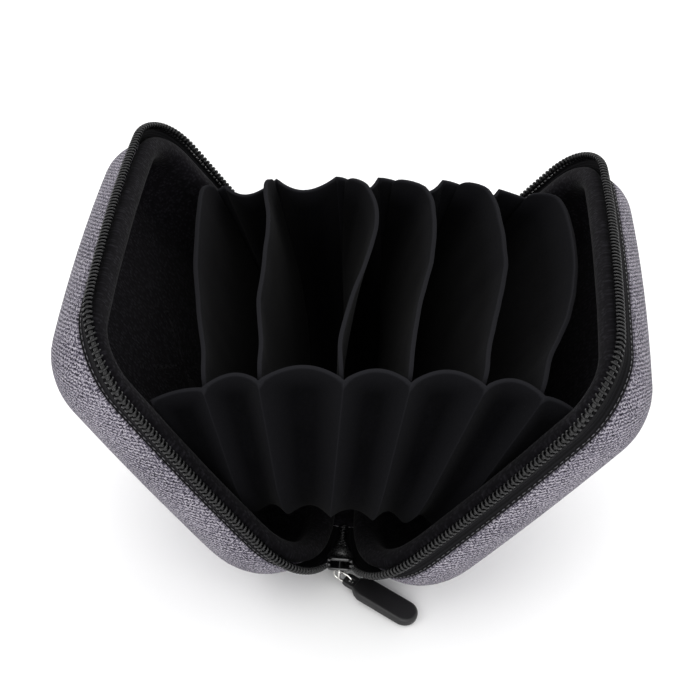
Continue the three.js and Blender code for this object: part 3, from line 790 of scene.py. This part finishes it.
def tape(half):
    """Woven tape from its seat under the cloth out to the foot of the coil."""
    s, z = sizes(), zipper()
    gap = pockets().clearance
    foot = z.coil_radius - TAPE_UNDER
    middle = lerp(s.shell_edge, foot, 0.5)
    end = half["seam"] - gap
    inner, outer, thin = s.shell_tuck + z.tape_thickness, s.shell_tuck, z.tape_thickness
    section = [
        (-inner, end),
        (-inner, s.shell_edge),
        (-lerp(inner, thin, TAPE_BEND[0]), middle),
        (-thin, foot + TAPE_EDGE),
        (-thin, foot),
        (TAPE_PROUD, foot),
        (TAPE_PROUD, foot + TAPE_EDGE),
        (-lerp(outer, 0, TAPE_BEND[1]), middle),
        (-outer, s.shell_edge),
        (-outer, end),
    ]
    bm = bmesh.new()
    sweep_rim(bm, section, whole=False)
    lay_weave(bm)
    lean_out(bm, half)
    face_outwards(bm)
    name = "tape_" + half["name"]
    add_piece(name + "_woven", bm, "zipper_tape", stands_for=[name], sharp=40)


def rim_stations(pitch, start, stop, phase=0.0):
    """Frames at even steps round the coil line: X is depth, Y points outwards, Z runs along it.
    start and stop are the angles by which the first and last turns are shortened."""
    s = sizes()
    begin = Vector((0, s.rim_width / 2 - s.spine_corner, 0))
    swing = Matrix.Rotation(start, 3, "X")
    centre = begin + Vector((0, 0, s.spine_corner))
    place, heading = centre + swing @ (begin - centre), swing @ Vector((0, 1, 0))
    found, due = [], phase
    for kind, where, _ in rim_legs(False, start, stop):
        turning = kind == "turn"
        span = where[1] * (place - where[0]).length if turning else where.length
        while due < span:
            share = due / span
            if turning:
                turn = Matrix.Rotation(where[1] * share, 3, "X")
                at, along = where[0] + turn @ (place - where[0]), turn @ heading
            else:
                at, along = place + where * share, heading
            out = Vector((0, along.z, -along.y))
            axes = Matrix((Vector((1, 0, 0)), out, along)).transposed().to_4x4()
            found.append(Matrix.Translation(at) @ axes)
            due += pitch
        due -= span
        if turning:
            turn = Matrix.Rotation(where[1], 3, "X")
            place, heading = where[0] + turn @ (place - where[0]), turn @ heading
        else:
            place = place + where
    return found


def repeated(bm, unit, places):
    """Copies a small mesh to every frame in a list."""
    source = bpy.data.meshes.new("unit")
    unit.to_mesh(source)
    unit.free()
    for place in places:
        copy = source.copy()
        copy.transform(place)
        bm.from_mesh(copy)
        bpy.data.meshes.remove(copy)
    bpy.data.meshes.remove(source)


CORE_RADIUS = 0.62 * MM
CORE_SIDES = 8
WIRE_SIDES = 6
LOOP_STEPS = 12
MOUTH_ROOM = 1.2 * MM
NOSE_ROOM = 0.3 * MM


def coil(half):
    """Coil teeth: one flattened loop of nylon wire after another, each leaning along the rim, round
    a filler cord. The slider covers some teeth, which are left out."""
    z = zipper()
    unit = bmesh.new()
    wire = z.tooth_wire / 2
    ring = wire_ring(unit, wire, WIRE_SIDES)
    bmesh.ops.rotate(unit, matrix=Matrix.Rotation(math.pi / 2, 3, "X"), verts=ring)
    bmesh.ops.translate(unit, vec=(z.tooth_width / 2 - wire, 0, 0), verts=ring)
    bmesh.ops.spin(
        unit,
        geom=unit.verts[:] + unit.edges[:],
        cent=(0, 0, 0),
        axis=(0, 0, 1),
        angle=2 * math.pi,
        steps=LOOP_STEPS,
        use_merge=True,
    )
    face_outwards(unit)
    stretch = (z.tooth_depth / 2 - wire) / (z.tooth_width / 2 - wire)
    for v in unit.verts:
        v.co = Vector((v.co.x * stretch, v.co.y, v.co.z + z.tooth_lean * v.co.y / z.tooth_width))
    bm = bmesh.new()
    phase = z.tooth_pitch / 2 if half["side"] > 0 else 0
    mouth = z.slider_at + z.slider_length / 2 + MOUTH_ROOM
    nose = z.slider_at - z.slider_length / 2 - NOSE_ROOM
    near = sizes().spine_corner - sizes().rim_width / 2

    def free(place):
        past = near - place.translation.y
        return place.translation.z > sizes().spine_corner or not nose < past < mouth

    repeated(bm, unit, [place for place in rim_stations(z.tooth_pitch, 0, 0, phase) if free(place)])
    turns = [2 * math.pi * i / CORE_SIDES for i in range(CORE_SIDES)]
    cord = [(CORE_RADIUS * math.cos(t), CORE_RADIUS * math.sin(t)) for t in turns]
    core = bmesh.new()
    sweep_rim(core, cord, whole=False, stop=math.asin(mouth / sizes().spine_corner))
    face_outwards(core)
    repeated(bm, core, [Matrix()])
    lean_out(bm, half)
    name = "coil_" + half["name"]
    add_piece(name + "_teeth", bm, "zipper_coil", stands_for=[name])


SEAM_INSET = 1 * MM
STITCH_RISE = 0.3 * MM
STITCH_SHARE = 0.7  # of the pitch that a stitch takes at most
STITCH_FLATTENED = 0.8


def stitches(half):
    """Rows of lock stitches: one where the tape meets the cloth, in pale thread, and one in black
    thread that ties every tooth of the coil down."""
    s, z = sizes(), zipper()
    start = math.asin(z.stop_at / s.spine_corner)
    rows = (
        ("seam", "thread", z.stitch_pitch, -s.shell_tuck, half["seam"] - SEAM_INSET),
        ("coil", "zipper_tape", z.tooth_pitch, 0, z.coil_radius + STITCH_RISE),
    )
    for name, look, pitch, out, depth in rows:
        unit = bmesh.new()
        bmesh.ops.create_icosphere(unit, subdivisions=1, radius=z.thread / 2)
        longer = min(z.stitch_length, STITCH_SHARE * pitch) / z.thread
        bmesh.ops.scale(unit, vec=(1, STITCH_FLATTENED, longer), verts=unit.verts)
        bmesh.ops.translate(unit, vec=(depth, out, 0), verts=unit.verts)
        bm = bmesh.new()
        repeated(bm, unit, rim_stations(pitch, start, start))
        lean_out(bm, half)
        add_piece(f"stitches_{name}_{half['name']}", bm, look, slot="zipper_tape")


STRIP_CUTS = 2
STRIP_ROWS = 16
STRIP_SMOOTH = 0.3


def spine_strip():
    """Cloth strip across the hinge, seated where the tapes leave off: lining inside, cloth outside."""
    s, z = sizes(), zipper()
    left, right = HALVES
    gap = pockets().clearance
    foot = z.coil_radius + gap
    sine, cosine = math.sin(s.open_angle), math.cos(s.open_angle)

    def at(side, inset, depth):
        across, up = depth * cosine + inset * sine, inset * cosine - depth * sine
        return Vector((side * across, 0, up + stand_height()))

    line = [
        at(-1, s.shell_tuck, left["seam"] - gap),
        at(-1, s.shell_tuck, s.shell_edge),
        at(-1, z.tape_thickness, foot),
        at(1, z.tape_thickness, foot),
        at(1, s.shell_tuck, s.shell_edge),
        at(1, s.shell_tuck, right["seam"] - gap),
    ]
    half_run = s.rim_width / 2 - s.spine_corner - gap
    bm = bmesh.new()
    chain = [bm.verts.new(p - Vector((0, half_run, 0))) for p in line]
    edges = [bm.edges.new(pair) for pair in zip(chain, chain[1:])]
    bmesh.ops.subdivide_edges(bm, edges=edges, cuts=STRIP_CUTS, smooth=STRIP_SMOOTH)
    carry(bm, bm.edges[:], [("line", Vector((0, 2 * half_run, 0)), STRIP_ROWS)], "Y")
    layer = bm.loops.layers.uv.new("weave")
    for face in bm.faces:
        for loop in face.loops:
            loop[layer].uv = (loop.vert.co.y, loop.vert.co.x)
    face_outwards(bm)
    middle = min(bm.faces, key=lambda f: abs(f.calc_center_median().x))
    if middle.normal.z < 0:
        bmesh.ops.reverse_faces(bm, faces=bm.faces)
    made = add_piece("spine_strip_cloth", bm, "lining_knit", "case", ["spine_strip"], "spine_cloth")
    made.data.materials.append(finish("shell_cloth"))
    wall = made.modifiers.new("Solidify", "SOLIDIFY")
    wall.thickness = z.tape_thickness
    wall.offset = 1.0
    wall.material_offset = 1
    flat = (run_of(line), 2 * half_run)


# Slider and pull


RAIL_GAP = 0.35 * MM  # half of the slot between the slider's rails, for the tapes
RAIL_BEVEL = 0.12 * MM
WEDGE_BEVEL = 0.1 * MM
PLATE_BEVEL = 0.3  # share of a plate's thickness
POST_SINK = 0.3 * MM  # how deep the bridge's ends sit in the outer plate
ROUND_SIDES = 12
POST_STEPS = 2
BEND_STEPS = 6
BAR_STEPS = 4
LINK_STEPS = 3


def plate(bm, outline, low, high, bevel, segments=2):
    """Adds a flat plate of an outline in the XY plane, with its edges rounded."""
    face = bm.faces.new([bm.verts.new((x, y, low)) for x, y in outline])
    top = verts_of(bmesh.ops.extrude_face_region(bm, geom=[face])["geom"])
    bmesh.ops.translate(bm, vec=(0, 0, high - low), verts=top)
    edges = {edge for vert in top for side in vert.link_faces for edge in side.edges}
    round_edges(bm, edges | set(face.edges), bevel, segments)


SHARP = math.radians(50)


def round_edges(bm, edges, bevel, segments):
    """Rounds those of a set of edges that are sharp."""
    faces = [face for face in bm.faces if edges & set(face.edges)]
    bmesh.ops.recalc_face_normals(bm, faces=faces)
    edges = [edge for edge in bm.edges if edge in edges and edge.is_manifold]
    sharp = [edge for edge in edges if abs(edge.calc_face_angle()) > SHARP]
    bmesh.ops.bevel(
        bm,
        geom=sharp,
        offset=bevel,
        affect="EDGES",
        segments=segments,
        profile=0.5,
        material=-1,
        clamp_overlap=True,
    )


def bridge_place():
    """Middle of the slider's bar along the slider, and how far it lies below the coil line."""
    z = zipper()
    along = z.bridge_span / 2 + z.bridge_post - z.slider_length / 2
    return along, z.slider_thickness / 2 + z.bridge_gap + z.bar_width / 2


def slider_seat():
    """Where the slider sits on the coil line, and how steeply that line comes down."""
    s, z = sizes(), zipper()
    root = math.sqrt(s.spine_corner**2 - z.slider_at**2)
    cosine = math.cos(s.open_angle)
    along = s.spine_corner - s.rim_width / 2 - z.slider_at
    place = Vector((0, along, (s.spine_corner - root) * cosine + stand_height()))
    return place, math.atan(z.slider_at / root * cosine)


def slider():
    """Zipper slider: two shield-shaped plates, rails down their sides, a post between them at the
    mouth, and on the outer face the wire bridge that holds the link."""
    z = zipper()
    half, deep = z.slider_length / 2, z.slider_thickness / 2
    right, wedge = [
        [(wide * z.slider_mouth / 2, along * half) for wide, along in table] for table in (SLIDER, WEDGE)
    ]
    outline = right + [(-x, y) for x, y in reversed(right)]
    rails = right[1:5]
    root = deep - z.slider_plate / 2
    bm = bmesh.new()
    for low in (deep - z.slider_plate, -deep):
        plate(bm, outline, low, low + z.slider_plate, PLATE_BEVEL * z.slider_plate)
    for side in (-1, 1):
        rail = [(side * x, y) for x, y in rails]
        rail += [(side * (x - z.slider_plate), y) for x, y in reversed(rails)]
        plate(bm, rail, -root, -RAIL_GAP, RAIL_BEVEL, 1)
        plate(bm, rail, RAIL_GAP, root, RAIL_BEVEL, 1)
    plate(bm, wedge, -root, root, WEDGE_BEVEL, 1)
    bridge = bmesh.new()
    add_bridge(bridge)
    place, pitch = slider_seat()
    seat = Matrix.Translation(place) @ Matrix.Rotation(-pitch, 4, "X")
    for part in (bm, bridge):
        bmesh.ops.transform(part, matrix=seat, verts=part.verts)
    add_piece("slider_cast", bm, "slider_lacquer", "case", ["slider"], "zipper_metal", sharp=38)
    add_piece("slider_bridge", bridge, "zipper_metal")


def add_bridge(bm):
    """Adds the slider's bridge: a wire that leaves the outer plate, runs along it and returns."""
    z = zipper()
    along, drop = bridge_place()
    reach = (z.bridge_span + z.bridge_post) / 2
    bend = z.bridge_post
    foot = z.slider_thickness / 2 - POST_SINK
    ring = wire_ring(bm, z.bridge_post / 2, ROUND_SIDES)
    bmesh.ops.scale(bm, vec=(z.bar_width / z.bridge_post, 1, 1), verts=ring)
    bmesh.ops.translate(bm, vec=(0, along - reach, -foot), verts=ring)
    quarter = math.pi / 2
    first = bm.edges[:]
    post = Vector((0, 0, drop - bend - foot))
    legs = [
        ("line", -post, POST_STEPS),
        ("turn", (Vector((0, along - reach + bend, bend - drop)), quarter), BEND_STEPS),
        ("line", Vector((0, 2 * (reach - bend), 0)), BAR_STEPS),
        ("turn", (Vector((0, along + reach - bend, bend - drop)), quarter), BEND_STEPS),
        ("line", post, POST_STEPS),
    ]
    cap_ends(bm, first, carry(bm, first, legs, "X"))
    face_outwards(bm)


def hang_pull(bm):
    """Turns a piece of the pull from its own frame, hung at the origin along X, to the bar."""
    z = zipper()
    place, pitch = slider_seat()
    along, drop = bridge_place()
    at = place + Matrix.Rotation(-pitch, 3, "X") @ Vector((0, along, -drop))
    above = at.z - z.tab_thickness / 2 - pockets().clearance
    slope = math.asin(above / (z.tab_length + z.link_length - z.link_height))
    turn = Matrix.Rotation(z.pull_yaw, 4, "Z") @ Matrix.Rotation(slope, 4, "Y")
    bmesh.ops.transform(bm, matrix=Matrix.Translation(at) @ turn, verts=bm.verts)


def pull_link():
    """Metal link: a loop of round wire on edge, through the bridge and the tab's eye."""
    z = zipper()
    radius = (z.link_height - z.link_band) / 2
    run = Vector((z.link_length - z.link_height, 0, 0))
    bm = bmesh.new()
    ring = wire_ring(bm, z.link_band / 2, ROUND_SIDES)
    bmesh.ops.rotate(bm, matrix=Matrix.Rotation(math.pi / 2, 3, "Y"), verts=ring)
    bmesh.ops.translate(bm, vec=(0, 0, -radius), verts=ring)
    legs = [
        ("line", run, LINK_STEPS),
        ("turn", (run, -math.pi), TURN_STEPS),
        ("line", -run, LINK_STEPS),
        ("turn", (Vector(), -math.pi), TURN_STEPS),
    ]
    carry(bm, bm.edges[:], legs, "Y")
    bmesh.ops.remove_doubles(bm, verts=bm.verts, dist=MERGED)
    face_outwards(bm)
    hang_pull(bm)
    add_piece("pull_link_wire", bm, "zipper_metal", "pull", ["pull_link"])


EYE_BAR = 1.3 * MM
NECK_REACH = 3 * MM
NECK_TAPER = 0.8
NECK_BEVEL = 0.35 * MM
SHOULDER_AT = 0.9 * MM
SHOULDER_RUN = 3 * MM
SHOULDER_CURVE = (0.45, 0.62)  # where the shoulder bends: share of its run, share of its widening
TAB_BEVEL = 0.95 * MM
TAB_STEPS = 16


def pull_tab():
    """Rubber tab: a round-ended slab with soft edges, and a thinner neck with an eye."""
    z = zipper()
    gap = pockets().clearance
    link_end = z.link_length - z.link_height / 2
    eye_start, eye_end = link_end - z.link_band - 2 * gap, link_end + gap
    start = eye_start - EYE_BAR
    half, wide = z.neck_width / 2, z.tab_width / 2
    bm = bmesh.new()
    bmesh.ops.create_grid(bm, x_segments=3, y_segments=3, size=0.5)
    eye = z.link_band / 2 + gap
    across = (start, eye_start, eye_end, eye_end + NECK_REACH)
    up = (-half, -eye, eye, half)
    for v in bm.verts:
        column, row = round(3 * (v.co.x + 0.5)), round(3 * (v.co.y + 0.5))
        taper = NECK_TAPER if column == 0 and row in (0, 3) else 1.0
        v.co = Vector((across[column], up[row] * taper, -z.neck_thickness / 2))
    middle = Vector(((eye_start + eye_end) / 2, 0, -z.neck_thickness / 2))
    hole = min(bm.faces, key=lambda face: (face.calc_center_median() - middle).length)
    bmesh.ops.delete(bm, geom=[hole], context="FACES_ONLY")
    top = verts_of(bmesh.ops.extrude_face_region(bm, geom=bm.faces[:])["geom"])
    bmesh.ops.translate(bm, vec=(0, 0, z.neck_thickness), verts=top)
    round_edges(bm, set(bm.edges), NECK_BEVEL, 3)
    shoulder = eye_end + SHOULDER_AT
    end = start + z.tab_length - wide
    bend, spread = shoulder + SHOULDER_CURVE[0] * SHOULDER_RUN, lerp(half, wide, SHOULDER_CURVE[1])
    swing = [math.radians(lerp(-90, 90, i / TAB_STEPS)) for i in range(TAB_STEPS + 1)]
    outline = [
        (shoulder, half),
        (shoulder, -half),
        (bend, -spread),
        (shoulder + SHOULDER_RUN, -wide),
        *[(end + wide * math.cos(t), wide * math.sin(t)) for t in swing],
        (shoulder + SHOULDER_RUN, wide),
        (bend, spread),
    ]
    plate(bm, outline, -z.tab_thickness / 2, z.tab_thickness / 2, TAB_BEVEL, 4)
    face_outwards(bm)
    hang_pull(bm)
    add_piece("pull_tab_moulded", bm, "pull_rubber", "pull", ["pull_tab"], sharp=35)


# Felt fan


FLAT_STEPS = 84  # points along a sheet whose length is measured
CUT_ROUND = 0.28  # share of the felt's thickness
FOLD_STEPS = 16
WALL_STEPS = 28
FLOOR_STEPS = 6
DIVIDER_STEPS = (48, 26)
RIDGE_HIGHLIGHT = 0.6 * MM  # painted highlight: a fold's ridge is as pale as felt this far from its cut edge
RIDGE_SPREAD = 24 * MM
FOLD_ROUND = 0.85  # powers that round the folds and deepen the near ones towards the floor
FOLD_DEEPEN = 1.5
SWAY = 0.25 * MM
SWAY_LENGTH = 9 * MM
SWAY_HEIGHT = 22 * MM


def fan_at(top, floor, height):
    """Sideways place of a fold line at a height above the hinge, from its shares at the pockets'
    top and at their floor."""
    p = pockets()
    up = (height - p.pocket_floor) / (p.pocket_top - p.pocket_floor)
    return lerp(floor * p.floor_span / 2, top * fan_half(), up)


def fan_half():
    s, p = sizes(), pockets()
    return p.pocket_top * math.tan(s.open_angle) + p.end_depth / math.cos(s.open_angle)


def lining_side(height):
    """Inside face of a lining's side wall at a height up a half."""
    s = sizes()
    gap = pockets().clearance
    inset = s.shell_tuck + s.shell_wall + gap + s.lining_wall + s.lip_bulge
    low = height < s.spine_corner
    corner = s.spine_corner if low else s.free_corner
    past = max(0.0, corner - height if low else height - s.rim_height + corner)
    reach = corner - inset
    flat = s.rim_width / 2 - corner + math.sqrt(max(0.0, reach * reach - past * past))
    up = 2 * height / s.rim_height - 1
    return flat * (1 + 2 * s.side_bow / s.rim_width * max(0.0, 1 - up * up))


def grid_of(bm, across, up, place, edge_distance):
    """Adds a grid of quads, each point put where place(u, v) says, with u and v from 0 to 1, and
    writes the distance from the cut edge to its UV map."""
    bmesh.ops.create_grid(bm, x_segments=across, y_segments=up, size=0.5)
    shares = {v: (v.co.x + 0.5, v.co.y + 0.5) for v in bm.verts}
    layer = bm.loops.layers.uv.new("weave")
    for face in bm.faces:
        for loop in face.loops:
            u, v = shares[loop.vert]
            loop[layer].uv = (u, edge_distance(u, v))
    for vert, (u, v) in shares.items():
        vert.co = Vector(place(u, v)) + Vector((0, 0, stand_height()))
    face_outwards(bm)


def felt_piece(name, bm, wall, place):
    """Finishes a felt sheet: its thickness and its rounded cut edge. It also measures the flat size, its
    length along the top edge and down the middle, which nothing uses."""
    area = sum(face.calc_area() for face in bm.faces)
    shares = [i / FLAT_STEPS for i in range(FLAT_STEPS + 1)]
    widest = max(run_of(place(u, v) for u in shares) for v in (0.5, 1))
    flat = (widest, max(run_of(place(u, v) for v in shares) for u in (0.25, 0.5, 0.75)))
    made = add_piece(name + "_felt", bm, "pocket_felt", stands_for=[name])
    thick = made.modifiers.new("Solidify", "SOLIDIFY")
    thick.thickness = wall
    thick.offset = 0
    cut = made.modifiers.new("Bevel", "BEVEL")
    cut.width = CUT_ROUND * wall
    cut.segments = 2
    cut.limit_method = "ANGLE"
    cut.angle_limit = SHARP


def panel_at(u):
    """Number of the panel at a share of the fan's width, and the share across that panel."""
    whole = u * len(PANELS)
    number = min(int(whole), len(PANELS) - 1)
    return number, whole - number


def gusset(key, end):
    """Folded felt wall that joins the dividers at one side of the fan."""
    s, p = sizes(), pockets()
    wall = p.near_wall if end < 0 else p.far_wall
    drop = 0 if end < 0 else p.far_drop
    centre = p.pocket_floor + p.pocket_corner
    cosine, sine = math.cos(s.open_angle), math.sin(s.open_angle)

    def place(u, v):
        number, share = panel_at(u)
        left, right = FOLDS[number], FOLDS[number + 1]
        down = 1 - v
        turn = max(0.0, 2 * down - 1) * math.pi / 2
        top = lerp(left["rise"], right["rise"], share) * p.pocket_top - drop
        y = end * (wall - p.pocket_corner + p.pocket_corner * math.cos(turn))
        z = lerp(top, centre, 2 * down) if down < 0.5 else centre - p.pocket_corner * math.sin(turn)
        x = lerp(*(fan_at(fold[key], fold["floor"], z) for fold in (left, right)), share)
        room = lining_side(z * cosine + abs(x) * sine) - p.felt_wall - p.panel_gap - abs(y)
        ends = {0: 1 - share, len(PANELS) - 1: share}.get(number, 0)
        held = end * ends * min(room, room * (1 - down))
        lean = lerp(PANELS[number]["lean"], 1, down) if end > 0 else 1
        deeper = down**FOLD_DEEPEN if end < 0 else down
        depth = lerp(PANELS[number][key] * p.fold_depth, p.floor_fold, deeper)
        fold = depth * math.sin(math.pi * share**lean) ** FOLD_ROUND
        return x, y + held - end * math.cos(turn) * fold, z + math.sin(turn) * fold

    height = p.pocket_top - drop - centre + p.pocket_corner * math.pi / 2
    bm = bmesh.new()

    # Distance that sets the felt's painted light: a painted highlight along each fold's ridge, and painted
    # light fading down from the top edge.
    def edge_distance(u, v):
        share = panel_at(u)[1]
        return min((1 - v) * height, RIDGE_HIGHLIGHT + min(share, 1 - share) * RIDGE_SPREAD)

    grid_of(bm, len(PANELS) * FOLD_STEPS, WALL_STEPS, place, edge_distance)
    felt_piece(f"gusset_{key}", bm, p.felt_wall, place)


def pocket_floor():
    """Folded felt floor of the fan."""
    p = pockets()
    near = p.pocket_corner - p.near_wall + p.panel_gap
    far = p.far_wall - p.pocket_corner - p.panel_gap

    def place(u, v):
        number, share = panel_at(u)
        x = lerp(FOLDS[number]["floor"], FOLDS[number + 1]["floor"], share) * p.floor_span / 2
        return x, lerp(near, far, v), p.pocket_floor + p.floor_fold * math.sin(math.pi * share)

    bm = bmesh.new()
    grid_of(bm, len(PANELS) * FOLD_STEPS, FLOOR_STEPS, place, lambda u, v: 1.0)
    felt_piece("pocket_floor", bm, p.felt_wall, place)


def bow_of(bow, share):
    """Smooth value between the columns of a bow."""
    k = 1
    while k < len(BOW_AT) - 2 and BOW_AT[k] < share:
        k += 1
    step = BOW_AT[k] - BOW_AT[k - 1]
    before, after = max(k - 2, 0), min(k + 1, len(BOW_AT) - 1)
    t = (share - BOW_AT[k - 1]) / step
    slope_a = (bow[k] - bow[before]) / (BOW_AT[k] - BOW_AT[before]) * step
    slope_b = (bow[after] - bow[k - 1]) / (BOW_AT[after] - BOW_AT[k - 1]) * step
    t2, t3 = t * t, t * t * t
    ends = (2 * t3 - 3 * t2 + 1) * bow[k - 1] + (3 * t2 - 2 * t3) * bow[k]
    return ends + (t3 - 2 * t2 + t) * slope_a + (t3 - t2) * slope_b


def divider(number):
    """Free felt divider: hangs between its two fold lines, bowed along its free edge."""
    p = pockets()
    fold, bow = FOLDS[number], BOWS[number - 1]
    inset = p.felt_wall / 2 + 2 * p.clearance + p.floor_fold
    seam = inset + p.clearance
    radius = p.pocket_corner - inset
    near, far = seam - p.near_wall, p.far_wall - seam

    def top_at(y):
        corner = p.tip_radius - min(y - near, far - y, p.tip_radius)
        drop = p.tip_radius - math.sqrt(max(0.0, p.tip_radius**2 - corner**2))
        return fold["rise"] * p.pocket_top - TIP_DROP * drop

    def low_at(y):
        reach = p.near_wall - p.pocket_corner + y if y < 0 else p.far_wall - p.pocket_corner - y
        past = min(max(0.0, -reach), radius)
        return p.pocket_floor + p.pocket_corner - math.sqrt(radius**2 - past**2)

    def across(u):
        return lerp(near, far, (1 - math.cos(math.pi * u)) / 2)

    def place(u, v):
        y = across(u)
        z = lerp(low_at(y), top_at(y), v)
        share = (y + p.near_wall) / (p.near_wall + p.far_wall)
        up = (z - p.pocket_floor) / (p.pocket_top - p.pocket_floor)
        line = lerp(fold["near"], fold["far"], share)
        sway = SWAY * up * noise.noise(Vector((y / SWAY_LENGTH, z / SWAY_HEIGHT, number)))
        x = fan_at(line, fold["floor"], z) + bow_of(bow, share) * fan_half() * up**BOW_RISE + sway
        return x, y, z

    # Distance from the free edge, which sets the felt's painted highlight there and the painted light
    # fading down into the pocket.
    def edge_distance(u, v):
        y = across(u)
        return (1 - v) * (top_at(y) - low_at(y))

    bm = bmesh.new()
    grid_of(bm, *DIVIDER_STEPS, place, edge_distance)
    felt_piece(f"divider_{number}", bm, p.divider_wall, place)


# Studio


CAMERA_AT = Vector((8.6, -368.4, 369.4)) * MM
CAMERA_AZIMUTH = math.radians(-1.59)
CAMERA_ELEVATION = math.radians(40.28)
CAMERA_ROLL = math.radians(3.11)
CAMERA_FOCAL = 1600  # pixels, for a frame that is 700 pixels wide
FRAME_WIDTH = 700
SENSOR = 36

FLOOR_SIZE = 3.0
WORLD_LIGHT = 1.1
LIGHTS_AIM = Vector((0, 0, 0.05))
LIGHTS = (
    {"name": "key", "at": (-0.5, -0.5, 1.0), "size": 0.9, "power": 3.0},
    {"name": "front", "at": (0.15, -1.1, 0.45), "size": 0.8, "power": 5.0},
    {"name": "back", "at": (0.1, 0.9, 0.8), "size": 0.9, "power": 5.0},
)


def camera():
    azimuth, elevation = CAMERA_AZIMUTH, CAMERA_ELEVATION
    flat = math.cos(elevation)
    ahead = Vector((math.sin(azimuth) * flat, math.cos(azimuth) * flat, -math.sin(elevation)))
    right = ahead.cross(Vector((0, 0, 1))).normalized()
    up = right.cross(ahead)
    cosine, sine = math.cos(CAMERA_ROLL), math.sin(CAMERA_ROLL)
    axes = Matrix((right * cosine + up * sine, up * cosine - right * sine, -ahead)).transposed()
    made = bpy.data.objects.new("camera", bpy.data.cameras.new("camera"))
    made.matrix_world = Matrix.Translation(CAMERA_AT) @ axes.to_4x4()
    made.data.sensor_width = SENSOR
    made.data.lens = CAMERA_FOCAL / FRAME_WIDTH * SENSOR
    made.data.clip_start = MM
    bpy.context.scene.collection.objects.link(made)
    bpy.context.scene.camera = made


def studio_floor():
    bm = bmesh.new()
    bmesh.ops.create_grid(bm, x_segments=4, y_segments=4, size=FLOOR_SIZE)
    mesh = bpy.data.meshes.new("floor")
    bm.to_mesh(mesh)
    bm.free()
    mesh.materials.append(finish("paper"))
    made = bpy.data.objects.new("floor", mesh)
    bpy.context.scene.collection.objects.link(made)


def studio_lights():
    world = bpy.data.worlds.new("studio")
    world.use_nodes = True
    background = world.node_tree.nodes["Background"].inputs
    background["Color"].default_value = (1, 1, 1, 1)
    background["Strength"].default_value = WORLD_LIGHT
    bpy.context.scene.world = world
    for light in LIGHTS:
        made = bpy.data.objects.new(light["name"], bpy.data.lights.new(light["name"], "AREA"))
        made.data.size = light["size"]
        made.data.energy = light["power"]
        made.location = light["at"]
        away = Vector(light["at"]) - LIGHTS_AIM
        made.rotation_euler = away.to_track_quat("Z", "Y").to_euler()
        bpy.context.scene.collection.objects.link(made)
    bpy.context.scene.view_settings.view_transform = "Standard"


# Add-on


class FilterCaseShells(bpy.types.Operator):
    """Make the two moulded half shells and the cloth strip between them"""

    bl_idname = "filter_case.shells"
    bl_label = "Half shells"

    def execute(self, context):
        for half in HALVES:
            shell(half)
        spine_strip()
        return {"FINISHED"}


class FilterCaseLinings(bpy.types.Operator):
    """Make the knit lining of both halves"""

    bl_idname = "filter_case.linings"
    bl_label = "Linings"

    def execute(self, context):
        for half in HALVES:
            lining(half)
        return {"FINISHED"}


class FilterCaseZip(bpy.types.Operator):
    """Make the zipper's tapes, their stitches and the coil teeth"""

    bl_idname = "filter_case.zip"
    bl_label = "Zipper"

    def execute(self, context):
        for half in HALVES:
            tape(half)
            stitches(half)
            coil(half)
        return {"FINISHED"}


class FilterCaseSlider(bpy.types.Operator):
    """Make the zipper slider"""

    bl_idname = "filter_case.slider"
    bl_label = "Slider"

    def execute(self, context):
        slider()
        return {"FINISHED"}


class FilterCasePull(bpy.types.Operator):
    """Make the metal link and the rubber tab"""

    bl_idname = "filter_case.pull"
    bl_label = "Pull"

    def execute(self, context):
        pull_link()
        pull_tab()
        return {"FINISHED"}


class FilterCaseFan(bpy.types.Operator):
    """Make the felt dividers and the folded walls that join them"""

    bl_idname = "filter_case.fan"
    bl_label = "Pocket fan"

    def execute(self, context):
        for number in range(1, len(BOWS) + 1):
            divider(number)
        gusset("near", -1)
        gusset("far", 1)
        pocket_floor()
        return {"FINISHED"}


class FilterCaseStage(bpy.types.Operator):
    """Make the studio floor, the lights and the camera"""

    bl_idname = "filter_case.stage"
    bl_label = "Studio"

    def execute(self, context):
        studio_floor()
        studio_lights()
        camera()
        return {"FINISHED"}


OPERATORS = (
    FilterCaseShells,
    FilterCaseLinings,
    FilterCaseZip,
    FilterCaseSlider,
    FilterCasePull,
    FilterCaseFan,
    FilterCaseStage,
)


class VIEW3D_PT_filter_case(bpy.types.Panel):
    """Buttons that build the case"""

    bl_label = "Lens filter case"
    bl_space_type = "VIEW_3D"
    bl_region_type = "UI"
    bl_category = "Filter case"

    def draw(self, context):
        for operator in OPERATORS:
            self.layout.operator(operator.bl_idname)
        for group in (sizes(), zipper(), pockets(), colours()):
            box = self.layout.box()
            for name in group.bl_rna.properties.keys():
                if name not in {"rna_type", "name"}:
                    box.prop(group, name)


GROUPS = {
    "filter_case_sizes": FilterCaseSizes,
    "filter_case_zipper": FilterCaseZipper,
    "filter_case_pockets": FilterCasePockets,
    "filter_case_colours": FilterCaseColours,
}
CLASSES = (*GROUPS.values(), *OPERATORS, VIEW3D_PT_filter_case)


def register():
    for cls in CLASSES:
        bpy.utils.register_class(cls)
    for name, group in GROUPS.items():
        setattr(bpy.types.Scene, name, PointerProperty(type=group))


def unregister():
    for name in GROUPS:
        delattr(bpy.types.Scene, name)
    for cls in reversed(CLASSES):
        bpy.utils.unregister_class(cls)


def main():
    register()
    bpy.ops.filter_case.shells()
    bpy.ops.filter_case.linings()
    bpy.ops.filter_case.zip()
    bpy.ops.filter_case.slider()
    bpy.ops.filter_case.pull()
    bpy.ops.filter_case.fan()
    bpy.ops.filter_case.stage()


if __name__ == "__main__":
    main()
